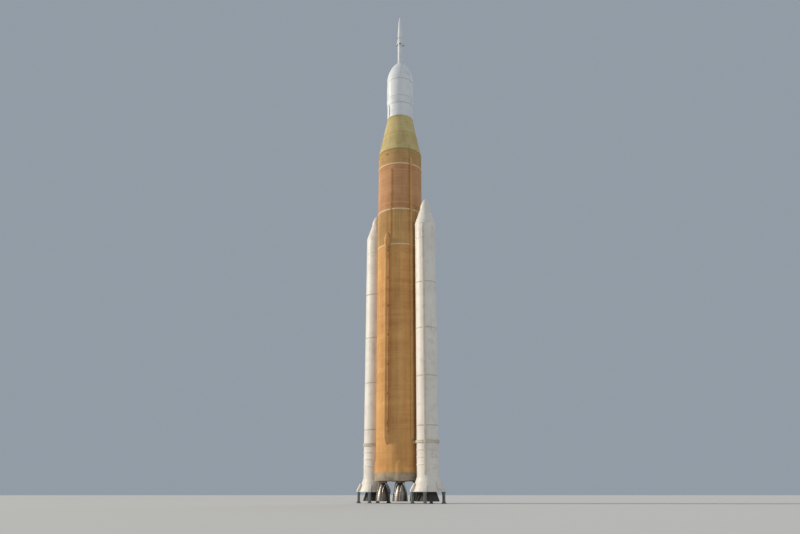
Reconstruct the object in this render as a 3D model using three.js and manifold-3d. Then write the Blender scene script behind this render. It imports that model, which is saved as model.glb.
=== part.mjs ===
// A heavy launch rocket as a 1:10 scale model, standing on the support posts under its boosters.
// Sizes are the real ones in metres, and each mesh is scaled to model millimetres when it is made.
// +Z is up, the boosters stand on the X axis, the feedlines run down the -Y and +Y sides,
// and the origin is on the floor under the middle of the core stage.

import * as THREE from 'three';
import { mergeVertices } from 'three/addons/utils/BufferGeometryUtils.js';
import Module from 'manifold-3d';

const wasm = await Module();
wasm.setup();

// Scale and fit
const SCALE = 10;
const MM = 1000 / SCALE; // model millimetres for a real metre
const GAP = 0.003; // between a piece and the curved or turning face it is seated on

// Heights above the floor
const NOZZLE_EXIT_Z = 0.35; // exit planes of the main engines and the booster nozzles
const BOAT_TAIL_Z = 3.65;
const ENGINE_SECTION_Z = 4.95;
const HYDROGEN_TANK_Z = 11.65;
const INTERTANK_Z = 45.45;
const OXYGEN_TANK_Z = 52.8;
const FORWARD_SKIRT_Z = 61.95;
const STAGE_ADAPTER_Z = 65.15;
const UPPER_STAGE_Z = 73.55;
const SPACECRAFT_ADAPTER_Z = 76.55;
const SERVICE_PANELS_Z = 78.05;
const CREW_FAIRING_Z = 81.95;
const ABORT_MOTOR_Z = 86.95;
const JETTISON_MOTOR_Z = 92.9;
const ATTITUDE_MOTOR_Z = 94.7;
const ABORT_NOSE_Z = 96.2;
const TOP_Z = 98.5;

// Core stage
const CORE_R = 4.2;
const CORE_SIDES = 48;
const FLANGE_OUT = 0.06; // how far a joint flange stands out
const FLANGE_H = 0.3;
const RIB_COUNT = 48;
const RIB_OUT = 0.04;
const RIB_IN = 0.03;
const RIB_WALL_R = (CORE_R + RIB_OUT + GAP) / Math.cos(Math.PI / CORE_SIDES); // clear of the ribs' corners
const DOOR_OUT = 0.05; // how far a door or cover stands out from a wall
const UMBILICAL_ANGLE = 120; // from the right booster's side towards the back, in degrees

// Feedlines
const PIPE_R = 0.28;
const PIPE_OUT = 4.64; // of the pipe's axis from the core's axis
const BRACKET_COUNT = 7;
const FEEDLINE_ANGLE = 10; // from the front towards the right booster, in degrees

// Cable tunnel up the core
const TUNNEL_ANGLE = -18; // from the right booster's side towards the front, in degrees
const TUNNEL_WIDTH = 0.5;
const TUNNEL_OUT = 0.3;

// Main engines
const ENGINE_OFFSET = 2.05; // of each engine from the middle, along X and along Y
const ENGINE_PIVOT_Z = 4.45;
const BEARING_R = 0.12;
const WELL_R = 1.28;
const ENGINE_FAIRING_R = 1.5;
const PAD_R = 0.35;
const BELL_WALL = 0.05;
const BELL = [
  // radius, height above the exit
  [1.2, 0], [1.1, 0.8], [0.93, 1.5], [0.7, 2.15], [0.42, 2.75], [0.3, 3.0],
];
const BELL_BANDS = [0.08, 0.9, 1.8]; // heights of the stiff bands above the exit
const PUMP_R = 0.27;
const PUMP_OFFSET = 0.6;
const ENGINE_PLACES = [
  // x side, y side
  [-1, -1],
  [1, -1],
  [1, 1],
  [-1, 1],
];

// Boosters
const BOOSTER_X = 6.36;
const BOOSTER_R = 1.855;
const BOOSTER_SIDES = 32;
const SKIRT_Z = 1.85; // foot of the aft skirt
const MOTOR_Z = 4.15;
const BOOSTER_SKIRT_Z = 46.22; // forward skirt
const NOSE_CONE_Z = 49.4;
const BOOSTER_TIP_Z = 54.35;
const SEGMENTS = 5;
const JOINT_OUT = 0.045;
const STIFFENER_OUT = 0.085;
const STIFFENER_H = 0.14;
const JOINT_H = 0.22;
const NOZZLE_PIVOT_Z = 3.75;
const FLEX_R = 0.35;
const SKIRT_BASE_R = 2.69;
const SKIRT_TOP_R = 1.93;
const SKIRT_WALL = 0.12;
const STIFFENERS = [2.05, 3.25, 4.45]; // heights of the stiffener rings above the foot of the case
const ATTACH_Z = 9.7; // foot of the ring whose arms reach the core
const ATTACH_H = 0.45;
const ATTACH_R = 2.04;
const THRUST_FITTING_Z = 47.3;
const BOOSTER_TUNNEL_ANGLE = -62; // in degrees from the outboard side
const POST_ANGLES = [60, 120, 240, 300]; // of the hold-down feet, in degrees from the outboard side
const POST_R = 2.75; // of the posts' axes from the booster's axis
const POD_ANGLES = [0, 180]; // of the separation motors on the aft skirt
const POD_MOTORS = [-0.39, -0.13, 0.13, 0.39]; // their places along a pod
const NOSE_MOTORS = [158, 172.5, 187.5, 202]; // angles of the separation motors on the nose cone
const NOZZLE_WALL = 0.08;
const BOOSTER_BELL = [
  // radius, height above the exit
  [1.9, 0], [1.64, 0.8], [1.36, 1.6], [1.1, 2.35], [1.0, 2.8],
];
const BELL_HOOPS = [0.4, 1.2, 2.0]; // heights of the hoops above the exit

// Upper stage, spacecraft and abort tower
const UPPER_R = 2.55; // upper stage
const UPPER_SIDES = 36;
const SERVICE_R = 2.66; // service module panels and the foot of the crew fairing
const PANEL_COUNT = 3;
const PANEL_STEPS = 12; // flats round one panel
const TOWER_R = 0.46; // abort tower
const TOWER_SIDES = 20;
const RAKE = 22; // of the abort motor's nozzles, in degrees

// Materials, by slot
const MATERIALS = {
  orange_foam: { color: 0xb8682a, roughness: 0.9, metalness: 0 },
  tan_foam: { color: 0xc9a24e, roughness: 0.9, metalness: 0 },
  booster_white: { color: 0xe9e4da, roughness: 0.55, metalness: 0 },
  spacecraft_white: { color: 0xe6eaec, roughness: 0.45, metalness: 0 },
  nozzle_metal: { color: 0x6f6a66, roughness: 0.4, metalness: 0.8 },
  booster_nozzle: { color: 0x3a3835, roughness: 0.8, metalness: 0 },
  bearing_steel: { color: 0x9a9a9c, roughness: 0.35, metalness: 0.9 },
  base_shield: { color: 0x7d7468, roughness: 0.8, metalness: 0 },
  post_paint: { color: 0x8d9092, roughness: 0.6, metalness: 0.3 },
};

// Triangles that share their vertices and face outwards, as positions and an index.
function sharedMesh(geometry) {
  const bare = geometry.clone();
  bare.deleteAttribute('normal');
  bare.deleteAttribute('uv');
  const merged = mergeVertices(bare, 1e-5);
  const points = merged.attributes.position.array;
  const corners = merged.index.array;
  const faces = [];
  let volume = 0;
  const [a, b, c] = [new THREE.Vector3(), new THREE.Vector3(), new THREE.Vector3()];
  for (let i = 0; i < corners.length; i += 3) {
    const [p, q, r] = [corners[i], corners[i + 1], corners[i + 2]];
    if (p === q || q === r || r === p) continue;
    faces.push(p, q, r);
    a.fromArray(points, 3 * p);
    b.fromArray(points, 3 * q);
    c.fromArray(points, 3 * r);
    volume += a.dot(b.cross(c));
  }
  if (volume < 0) faces.reverse();
  return { points, faces };
}

// A solid for cutting and joining, from a closed three.js geometry.
function solid(geometry) {
  const { points, faces } = sharedMesh(geometry);
  return new wasm.Manifold(new wasm.Mesh({
    numProp: 3,
    vertProperties: new Float32Array(points),
    triVerts: new Uint32Array(faces),
  }));
}

// A three.js geometry in model millimetres, from a solid in real metres.
function modelGeometry(shape) {
  const mesh = shape.getMesh();
  const geometry = new THREE.BufferGeometry();
  geometry.setAttribute('position', new THREE.BufferAttribute(new Float32Array(mesh.vertProperties), 3));
  geometry.setIndex(new THREE.BufferAttribute(new Uint32Array(mesh.triVerts), 1));
  geometry.scale(MM, MM, MM);
  const flat = geometry.toNonIndexed();
  flat.computeVertexNormals();
  return flat;
}

// One named piece of the rocket, with its slot's material, placed at x, y, z in real metres.
function piece(parent, name, slot, shape, x = 0, y = 0, z = 0) {
  const mesh = new THREE.Mesh(modelGeometry(shape), new THREE.MeshStandardMaterial(MATERIALS[slot]));
  mesh.name = name;
  mesh.position.set(x * MM, y * MM, z * MM);
  parent.add(mesh);
}

// A solid of revolution about Z. Each row of the outline is [radius, height].
function turned(outline, sides) {
  const points = outline.map(([r, z]) => new THREE.Vector2(r, z));
  const geometry = new THREE.LatheGeometry(points, sides, Math.PI / 2);
  return solid(geometry.rotateX(Math.PI / 2));
}

function cylinder(radius, bottom, top, sides) {
  return turned([[0, bottom], [radius, bottom], [radius, top], [0, top]], sides);
}

// A straight prism up Z over an outline of [x, y] rows.
function prism(outline, bottom, top) {
  const shape = new THREE.Shape(outline.map(([x, y]) => new THREE.Vector2(x, y)));
  const geometry = new THREE.ExtrudeGeometry(shape, { depth: top - bottom, bevelEnabled: false, steps: 1 });
  return solid(geometry.translate(0, 0, bottom));
}

// A prism over an outline of [x, z] rows, width wide along Y and centred there.
function upright(outline, width) {
  return prism(outline, -width / 2, width / 2).rotate([90, 0, 0]);
}

function box([x0, y0, z0], [x1, y1, z1]) {
  const geometry = new THREE.BoxGeometry(x1 - x0, y1 - y0, z1 - z0);
  return solid(geometry.translate((x0 + x1) / 2, (y0 + y1) / 2, (z0 + z1) / 2));
}

function joined(shapes) {
  return shapes.reduce((all, next) => all.add(next));
}

// The points of an arc that leaves a vertical wall at radius foot and ends at radius tip, height high,
// as an ogive does: radius = foot - bend + sqrt(bend^2 - height^2).
function ogive(foot, tip, high, bottom, steps) {
  const inward = foot - tip;
  const bend = (high * high + inward * inward) / (2 * inward);
  return Array.from({ length: steps + 1 }, (_, i) => {
    const up = (high * i) / steps;
    return [foot - bend + Math.sqrt(bend * bend - up * up), bottom + up];
  });
}

// The radius at height z of an outline of [radius, height] rows that rises.
function radiusAt(outline, z) {
  const next = Math.max(1, outline.findIndex((row) => row[1] >= z));
  const [[r0, z0], [r1, z1]] = [outline[next - 1], outline[next]];
  return r0 + ((r1 - r0) * (z - z0)) / (z1 - z0);
}

// An outline that rises, with a raised ring of three rows round it at each of the heights.
function ringed(outline, heights, out, high) {
  const rows = heights.flatMap((middle) => {
    const section = [[-high / 2, 0], [0, out], [high / 2, 0]];
    return section.map(([up, lift]) => [radiusAt(outline, middle + up) + lift, middle + up]);
  });
  return [...outline, ...rows].sort((a, b) => a[1] - b[1]);
}

// A flat plate on a round wall at height z, made on +X, leaning inwards with the wall by lean degrees.
function plate(radius, z, width, high, out, lean = 0) {
  const flat = box([-0.3, -width / 2, -high / 2], [out, width / 2, high / 2]);
  return flat.rotate([0, -lean, 0]).translate([radius, 0, z]);
}

// Copies of a shape made on +X, turned to each of the angles in degrees.
function around(shape, angles) {
  return angles.map((angle) => shape.rotate([0, 0, angle]));
}

// Core stage

function tank(height) {
  return cylinder(CORE_R, 0, height, CORE_SIDES);
}

// The forward skirt, with the flange at its foot, access doors and the umbilical plate.
function forwardSkirt(height) {
  const flange = CORE_R + FLANGE_OUT;
  const wall = turned([
    [0, 0], [flange, 0], [flange, FLANGE_H], [CORE_R, FLANGE_H], [CORE_R, height], [0, height],
  ], CORE_SIDES);
  const doors = around(plate(CORE_R, 1.55, 0.72, 0.9, DOOR_OUT), [26, 82, 146, 206, 256, 324]);
  const umbilical = around(plate(CORE_R, 1.5, 1.2, 1.6, 0.21), [UMBILICAL_ANGLE]);
  return joined([wall, ...doors, ...umbilical]);
}

// The intertank's wall has upright ribs between its two joint flanges.
function intertank(height) {
  const outline = [];
  for (let rib = 0; rib < RIB_COUNT; rib += 1) {
    for (const [part, out] of [[0, -RIB_IN], [0.45, -RIB_IN], [0.5, RIB_OUT], [0.95, RIB_OUT]]) {
      const angle = ((rib + part) / RIB_COUNT) * 2 * Math.PI;
      outline.push([(CORE_R + out) * Math.cos(angle), (CORE_R + out) * Math.sin(angle)]);
    }
  }
  const flange = (z) => cylinder(CORE_R + FLANGE_OUT, z, z + FLANGE_H, CORE_SIDES);
  return joined([prism(outline, 0, height), flange(0), flange(height - FLANGE_H)]);
}

function atEngines(shape) {
  return ENGINE_PLACES.map(([x, y]) => shape.translate([x * ENGINE_OFFSET, y * ENGINE_OFFSET, 0]));
}

// The engine section: a drum with a rounded fairing over each engine and a thrust pad for its bearing.
function engineSection() {
  const height = HYDROGEN_TANK_Z - ENGINE_SECTION_Z;
  const fairing = turned([
    [0, 0],
    [ENGINE_FAIRING_R, 0],
    ...ogive(ENGINE_FAIRING_R, 0.25, 2.4, 1.0, 4),
    [0, 3.55],
  ], 20);
  const padFoot = ENGINE_PIVOT_Z + BEARING_R - ENGINE_SECTION_Z;
  const pad = cylinder(PAD_R, padFoot, 0.1, 12);
  const drum = cylinder(CORE_R, 0, height, CORE_SIDES);
  return joined([drum, ...atEngines(fairing), ...atEngines(pad)]);
}

// The boat tail closes the core's foot around the four engine wells.
function boatTail() {
  const height = ENGINE_SECTION_Z - BOAT_TAIL_Z;
  const drum = turned([
    [0, 0], [CORE_R - 0.25, 0], [CORE_R, 0.55], [CORE_R, height], [0, height],
  ], CORE_SIDES);
  const fairing = cylinder(ENGINE_FAIRING_R, 0, height, 20);
  const well = cylinder(WELL_R, -1, height + 1, 20);
  return joined([drum, ...atEngines(fairing)]).subtract(joined(atEngines(well)));
}

// What a piece on the core's wall is cut back by: the core's outline, one gap larger.
function coreClearance() {
  const wall = CORE_R + GAP;
  const flange = CORE_R + FLANGE_OUT + GAP;
  return turned([
    [0, 0],
    [wall, 0],
    [wall, INTERTANK_Z - GAP],
    [flange, INTERTANK_Z - GAP],
    [flange, INTERTANK_Z + FLANGE_H + GAP],
    [RIB_WALL_R, INTERTANK_Z + FLANGE_H + GAP],
    [RIB_WALL_R, OXYGEN_TANK_Z - FLANGE_H - GAP],
    [flange, OXYGEN_TANK_Z - FLANGE_H - GAP],
    [flange, OXYGEN_TANK_Z + GAP],
    [wall, OXYGEN_TANK_Z + GAP],
    [wall, FORWARD_SKIRT_Z - GAP],
    [flange, FORWARD_SKIRT_Z - GAP],
    [flange, FORWARD_SKIRT_Z + FLANGE_H + GAP],
    [wall, FORWARD_SKIRT_Z + FLANGE_H + GAP],
    [wall, STAGE_ADAPTER_Z],
    [0, STAGE_ADAPTER_Z],
  ], CORE_SIDES);
}

// A feedline: a pipe on brackets down the hydrogen tank, under a teardrop fairing at each end. It is
// made at the front and then turned to its place.
function feedline() {
  const top = INTERTANK_Z + 0.6;
  const foot = HYDROGEN_TANK_Z - 0.9;
  const pipe = cylinder(PIPE_R, foot, top, 12);
  const upperFairing = turned([
    [0, top - 1.1], [0.36, top - 1.1], [0.6, top - 0.5], [0.6, top + 0.3], [0.4, top + 1.3], [0, top + 2.2],
  ], 12).translate([0, 0.2, 0]);
  const lowerFairing = turned([
    [0, foot - 1.3], [0.35, foot - 0.7], [0.52, foot], [0.52, foot + 0.5], [0.34, foot + 1.0],
    [0, foot + 1.0],
  ], 12).translate([0, 0.15, 0]);
  const span = (top - 1.6 - foot - 2.2) / (BRACKET_COUNT - 1);
  const brackets = Array.from({ length: BRACKET_COUNT }, (_, i) => {
    const z = foot + 2.2 + i * span;
    return box([-0.3, -0.06, z], [0.3, 0.6, z + 0.16]);
  });
  const line = joined([pipe, upperFairing, lowerFairing, ...brackets]).translate([0, -PIPE_OUT, 0]);
  return line.rotate([0, 0, FEEDLINE_ANGLE]);
}

// The covered tunnel for cables up the core's side, made on +X and then turned to its place.
function systemsTunnel() {
  const foot = HYDROGEN_TANK_Z - 1.4;
  const top = FORWARD_SKIRT_Z + 1.6;
  const outer = CORE_R + TUNNEL_OUT;
  const cover = upright([
    [CORE_R - 0.2, foot], [CORE_R + 0.05, foot], [outer, foot + 0.6], [outer, top - 0.6],
    [CORE_R + 0.05, top], [CORE_R - 0.2, top],
  ], TUNNEL_WIDTH);
  return cover.rotate([0, 0, TUNNEL_ANGLE]);
}

function addCoreStage(rocket) {
  const core = new THREE.Group();
  rocket.add(core);
  piece(core, 'core_boat_tail', 'base_shield', boatTail(), 0, 0, BOAT_TAIL_Z);
  piece(core, 'core_engine_section', 'orange_foam', engineSection(), 0, 0, ENGINE_SECTION_Z);
  const sections = [
    // name, foot, top, shape
    ['core_hydrogen_tank', HYDROGEN_TANK_Z, INTERTANK_Z, tank],
    ['core_intertank', INTERTANK_Z, OXYGEN_TANK_Z, intertank],
    ['core_oxygen_tank', OXYGEN_TANK_Z, FORWARD_SKIRT_Z, tank],
    ['core_forward_skirt', FORWARD_SKIRT_Z, STAGE_ADAPTER_Z, forwardSkirt],
  ];
  for (const [name, foot, top, shape] of sections) {
    piece(core, name, 'orange_foam', shape(top - foot), 0, 0, foot);
  }
  const clearance = coreClearance();
  const front = feedline().subtract(clearance);
  piece(core, 'feedline_front', 'orange_foam', front);
  piece(core, 'feedline_back', 'orange_foam', front.rotate([0, 0, 180]));
  piece(core, 'core_systems_tunnel', 'orange_foam', systemsTunnel().subtract(clearance));
}

// Main engines

// A hollow nozzle's wall from its outline, inside first: closed by a floor at the top of the hollow.
function nozzleOutline(outline, wall, bands, out) {
  const inside = outline.map(([r, z]) => [r - wall, z]).reverse();
  return [[0, inside[0][1]], ...inside, ...ringed(outline, bands, out, 0.12)];
}

// The bell and the powerhead above it, from the exit plane up.
function mainEngine() {
  const top = ENGINE_PIVOT_Z - BEARING_R - NOZZLE_EXIT_Z;
  const bell = nozzleOutline(BELL, BELL_WALL, BELL_BANDS, 0.04);
  const body = turned([...bell, [0.48, 3.4], [0.5, top], [0, top]], 18);
  const pump = cylinder(PUMP_R, 2.95, top - 0.12, 10);
  return joined([body, ...[-1, 1].map((side) => pump.translate([side * PUMP_OFFSET, 0, 0]))]);
}

function addMainEngines(rocket) {
  const bearing = solid(new THREE.SphereGeometry(BEARING_R - GAP, 10, 6).rotateX(Math.PI / 2));
  const engine = mainEngine();
  ENGINE_PLACES.forEach(([x, y], i) => {
    const place = new THREE.Group();
    place.position.set(x * ENGINE_OFFSET * MM, y * ENGINE_OFFSET * MM, 0);
    rocket.add(place);
    piece(place, `engine_${i + 1}_gimbal_bearing`, 'bearing_steel', bearing, 0, 0, ENGINE_PIVOT_Z);
    piece(place, `engine_${i + 1}_nozzle`, 'nozzle_metal', engine, 0, 0, NOZZLE_EXIT_Z);
  });
}

// Boosters. Each is made about its own axis, with its outboard side on +X and the core on -X.

// A frustum with four separation motors on its inboard side, under an ogive cap.
function noseCone() {
  const frustum = [[BOOSTER_R, 0], [0.87, 3.05]];
  const cap = ogive(0.87, 0.2, 1.75, 3.05, 5);
  const wall = turned([[0, 0], frustum[0], ...cap, [0, BOOSTER_TIP_Z - NOSE_CONE_Z]], BOOSTER_SIDES);
  const lean = (Math.atan2(BOOSTER_R - 0.87, 3.05) * 180) / Math.PI;
  const port = cylinder(0.155, -0.12, 0.06, 10).rotate([0, 90 - lean, 0]);
  return joined([wall, ...around(port.translate([radiusAt(frustum, 2.35), 0, 2.35]), NOSE_MOTORS)]);
}

function boosterForwardSkirt() {
  const height = NOSE_CONE_Z - BOOSTER_SKIRT_Z;
  const wall = ringed([[BOOSTER_R, 0], [BOOSTER_R, height]], [0.15, height - 0.25], JOINT_OUT, JOINT_H);
  return turned([[0, 0], ...wall, [0, height]], BOOSTER_SIDES);
}

function motorCase() {
  const height = BOOSTER_SKIRT_Z - MOTOR_Z;
  const joints = Array.from({ length: SEGMENTS - 1 }, (_, i) => (height * (i + 1)) / SEGMENTS);
  const straight = [[BOOSTER_R, 0], [BOOSTER_R, height]];
  const wall = ringed(ringed(straight, joints, JOINT_OUT, JOINT_H), STIFFENERS, STIFFENER_OUT, STIFFENER_H);
  const closure = NOZZLE_PIVOT_Z + FLEX_R - MOTOR_Z;
  return turned([[0, closure], [1.0, closure], [1.6, 0], ...wall, [0, height]], BOOSTER_SIDES);
}

// The aft skirt: a flared shell, open below, with hold-down feet and two pods of separation motors.
function aftSkirt() {
  const height = MOTOR_Z - SKIRT_Z;
  const outer = turned([
    [0, 0], [SKIRT_BASE_R + 0.06, 0], [SKIRT_BASE_R + 0.06, 0.15], [SKIRT_BASE_R - 0.05, 0.15],
    [SKIRT_TOP_R, height - 0.2], [SKIRT_TOP_R, height], [0, height],
  ], BOOSTER_SIDES);
  const hollow = turned([
    [0, -1], [SKIRT_BASE_R - SKIRT_WALL, -1], [SKIRT_BASE_R - SKIRT_WALL, 0.15],
    [SKIRT_TOP_R - SKIRT_WALL, height - 0.2], [SKIRT_TOP_R - SKIRT_WALL, height + 1], [0, height + 1],
  ], BOOSTER_SIDES);
  const foot = upright([[2.0, 0], [3.05, 0], [3.05, 0.4], [2.5, 1.4], [2.0, 1.4]], 0.6);
  const pod = upright([[1.9, 0.5], [2.64, 0.5], [2.64, 0.66], [2.34, 1.5], [1.9, 1.5]], 1.1);
  const motor = cylinder(0.11, -0.22, 0.1, 8).rotate([0, -25, 0]).translate([2.52, 0, 0.52]);
  const motors = POD_MOTORS.map((y) => motor.translate([0, y, 0]));
  const pods = around(joined([pod, ...motors]), POD_ANGLES);
  return joined([outer, ...around(foot, POST_ANGLES), ...pods]).subtract(hollow);
}

function boosterNozzle() {
  const top = NOZZLE_PIVOT_Z - FLEX_R - NOZZLE_EXIT_Z;
  const bell = nozzleOutline(BOOSTER_BELL, NOZZLE_WALL, BELL_HOOPS, 0.03);
  return turned([...bell, [0.75, top], [0, top]], 24);
}

// A ring round the aft segment with two arms that reach the core's wall.
function aftAttachRing(caseClearance, coreWall) {
  const ring = cylinder(ATTACH_R, 0, ATTACH_H, BOOSTER_SIDES);
  const arms = [-1, 1].map((side) => {
    const y = side * 0.95;
    return box([-2.6, y - 0.16, 0.04], [-1.2, y + 0.16, ATTACH_H - 0.04]);
  });
  return joined([ring, ...arms]).subtract(caseClearance).subtract(coreWall);
}

// The fitting through which the booster's thrust reaches the intertank.
function thrustFitting(caseClearance, ribWall) {
  return box([-2.6, -0.32, 0], [-1.2, 0.32, 0.9]).subtract(caseClearance).subtract(ribWall);
}

// The cable tunnel up the case, seated on its joint rings and cut back round the stiffeners.
function boosterTunnel() {
  const foot = MOTOR_Z + 0.4;
  const top = NOSE_CONE_Z - 0.4;
  const seat = BOOSTER_R + JOINT_OUT + GAP;
  const cover = upright([
    [1.7, foot], [seat + 0.02, foot], [seat + 0.13, foot + 0.4], [seat + 0.13, top - 0.4],
    [seat + 0.02, top], [1.7, top],
  ], 0.32).rotate([0, 0, BOOSTER_TUNNEL_ANGLE]);
  const ring = cylinder(ATTACH_R + GAP, ATTACH_Z - GAP, ATTACH_Z + ATTACH_H + GAP, BOOSTER_SIDES);
  const stiffeners = STIFFENERS.map((up) => {
    const foot = MOTOR_Z + up - STIFFENER_H / 2 - GAP;
    return cylinder(BOOSTER_R + STIFFENER_OUT + GAP, foot, foot + STIFFENER_H + 2 * GAP, BOOSTER_SIDES);
  });
  return cover.subtract(joined([cylinder(seat, 0, BOOSTER_TIP_Z, BOOSTER_SIDES), ring, ...stiffeners]));
}

// A post with a wide foot and head under each hold-down foot.
function supportPost() {
  const high = SKIRT_Z;
  const column = upright([
    [-0.2, 0], [0.2, 0], [0.2, high - 0.25], [0.27, high - 0.12],
    [0.27, high], [-0.27, high], [-0.27, high - 0.12], [-0.2, high - 0.25],
  ], 0.46);
  const gusset = upright([
    [-0.33, 0.1], [0.33, 0.1], [0.33, 0.16], [0.1, 0.7], [-0.1, 0.7], [-0.33, 0.16],
  ], 0.08);
  return joined([box([-0.35, -0.3, 0], [0.35, 0.3, 0.12]), column, gusset]);
}

function addBooster(rocket, side, x, turn) {
  const booster = new THREE.Group();
  booster.position.x = x * MM;
  booster.rotation.z = turn;
  rocket.add(booster);
  const name = (part) => `booster_${side}_${part}`;
  const caseClearance = cylinder(BOOSTER_R + GAP, -60, 60, BOOSTER_SIDES);
  const coreWall = cylinder(CORE_R + GAP, -60, 60, CORE_SIDES).translate([-BOOSTER_X, 0, 0]);
  const ribWall = cylinder(RIB_WALL_R, -60, 60, CORE_SIDES).translate([-BOOSTER_X, 0, 0]);
  const flex = solid(new THREE.SphereGeometry(FLEX_R - GAP, 14, 8).rotateX(Math.PI / 2));
  const parts = [
    // part, slot, shape, height
    ['aft_skirt', 'booster_white', aftSkirt(), SKIRT_Z],
    ['motor_case', 'booster_white', motorCase(), MOTOR_Z],
    ['forward_skirt', 'booster_white', boosterForwardSkirt(), BOOSTER_SKIRT_Z],
    ['nose_cone', 'booster_white', noseCone(), NOSE_CONE_Z],
    ['systems_tunnel', 'booster_white', boosterTunnel(), 0],
    ['aft_attach_ring', 'booster_white', aftAttachRing(caseClearance, coreWall), ATTACH_Z],
    ['thrust_fitting', 'bearing_steel', thrustFitting(caseClearance, ribWall), THRUST_FITTING_Z],
    ['flexible_bearing', 'bearing_steel', flex, NOZZLE_PIVOT_Z],
    ['nozzle', 'booster_nozzle', boosterNozzle(), NOZZLE_EXIT_Z],
  ];
  for (const [part, slot, shape, z] of parts) {
    piece(booster, name(part), slot, shape, 0, 0, z);
  }
  const post = supportPost();
  POST_ANGLES.forEach((angle, i) => {
    const turnedPost = post.translate([POST_R, 0, 0]).rotate([0, 0, angle]);
    piece(booster, name(`support_post_${i + 1}`), 'post_paint', turnedPost);
  });
}

// Upper stage, spacecraft and abort tower

// A cone between two joint rings, with a band at mid-height and access doors low and high.
function stageAdapter() {
  const height = UPPER_STAGE_Z - STAGE_ADAPTER_Z;
  const cone = [[CORE_R, 0.25], [UPPER_R + 0.04, height - 0.3]];
  const wall = turned([
    [0, 0], [CORE_R + 0.03, 0], [CORE_R + 0.03, 0.25], ...ringed(cone, [height / 2], 0.03, 0.16),
    [UPPER_R + 0.07, height - 0.3], [UPPER_R + 0.07, height], [0, height],
  ], CORE_SIDES);
  const lean = (Math.atan2(cone[0][0] - cone[1][0], cone[1][1] - cone[0][1]) * 180) / Math.PI;
  const doors = [
    // height of the middle, width, height, angles
    [1.85, 0.95, 1.1, [52, 118, 242, 308]],
    [height - 1.25, 0.52, 0.9, [20, 160, 200, 340]],
  ];
  const plates = doors.flatMap(([z, width, high, angles]) => (
    around(plate(radiusAt(cone, z), z, width, high, DOOR_OUT, lean), angles)));
  return joined([wall, ...plates]);
}

// The upper stage, with two cable tunnels and its umbilical plate.
function upperStage() {
  const height = SPACECRAFT_ADAPTER_Z - UPPER_STAGE_Z;
  const ledge = height - 0.2;
  const wall = turned([
    [0, 0], [UPPER_R, 0], [UPPER_R, ledge], [UPPER_R + 0.05, ledge], [UPPER_R + 0.05, height], [0, height],
  ], UPPER_SIDES);
  const tunnel = plate(UPPER_R, ledge / 2, 0.4, ledge - 0.2, 0.16);
  const umbilical = plate(UPPER_R, 1.7, 0.9, 0.8, 0.14);
  return joined([wall, ...around(tunnel, [75, 255]), ...around(umbilical, [UMBILICAL_ANGLE])]);
}

function spacecraftAdapter() {
  const height = SERVICE_PANELS_Z - SPACECRAFT_ADAPTER_Z;
  return turned([
    [0, 0], [UPPER_R + 0.05, 0], [SERVICE_R + 0.04, height - 0.35], [SERVICE_R + 0.04, height], [0, height],
  ], UPPER_SIDES);
}

// One service module panel: a sector between two seams, with a cover on its middle.
function servicePanel(index) {
  const height = CREW_FAIRING_Z - SERVICE_PANELS_Z;
  const spread = (2 * Math.PI) / PANEL_COUNT;
  const start = index * spread + Math.PI / 6;
  const seam = GAP / 2;
  const middle = start + spread / 2;
  const inset = seam / Math.sin(spread / 2);
  const outline = [[inset * Math.cos(middle), inset * Math.sin(middle)]];
  const trim = seam / SERVICE_R;
  for (let i = 0; i <= PANEL_STEPS; i += 1) {
    const angle = start + trim + ((spread - 2 * trim) * i) / PANEL_STEPS;
    outline.push([SERVICE_R * Math.cos(angle), SERVICE_R * Math.sin(angle)]);
  }
  const cover = plate(SERVICE_R, 2.05, 1.05, 1.3, 0.02);
  return joined([prism(outline, 0, height), ...around(cover, [(middle * 180) / Math.PI])]);
}

// The ogive over the capsule, with a hatch at each side.
function crewFairing() {
  const height = ABORT_MOTOR_Z - CREW_FAIRING_Z;
  const shoulder = 0.35;
  const arc = ogive(SERVICE_R, 0.6, height - shoulder, shoulder, 7);
  const hatchZ = 1.65;
  const hatch = plate(radiusAt(arc, hatchZ), hatchZ, 0.75, 0.9, 0.03, 12);
  const shell = turned([[0, 0], [SERVICE_R, 0], ...arc, [0, height]], UPPER_SIDES);
  return joined([shell, ...around(hatch, [0, 180])]);
}

// The abort motor: a slim case whose four nozzles point down and outwards from its top.
function abortMotor() {
  const height = JETTISON_MOTOR_Z - ABORT_MOTOR_Z;
  const tube = turned([
    [0, 0], [0.6, 0], [TOWER_R, 0.5], [TOWER_R, height - 1.1], [TOWER_R + 0.08, height - 0.9],
    [TOWER_R + 0.08, height - 0.15], [TOWER_R, height], [0, height],
  ], TOWER_SIDES);
  const nozzle = turned([[0, 0], [0.24, 0], [0.12, 0.75], [0, 0.75]], 10)
    .rotate([0, -RAKE, 0])
    .translate([TOWER_R + 0.33, 0, height - 1.45]);
  return joined([tube, ...around(nozzle, [45, 135, 225, 315])]);
}

// The jettison motor, with four small raked nozzles at its foot.
function jettisonMotor() {
  const height = ATTITUDE_MOTOR_Z - JETTISON_MOTOR_Z;
  const tube = turned([
    [0, 0], [TOWER_R, 0], [TOWER_R, height - 0.1], [TOWER_R - 0.03, height], [0, height],
  ], TOWER_SIDES);
  const nozzle = turned([[0, 0], [0.085, 0], [0.05, 0.22], [0, 0.22]], 8)
    .rotate([0, -30, 0])
    .translate([TOWER_R + 0.07, 0, 0.22]);
  return joined([tube, ...around(nozzle, [0, 90, 180, 270])]);
}

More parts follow.
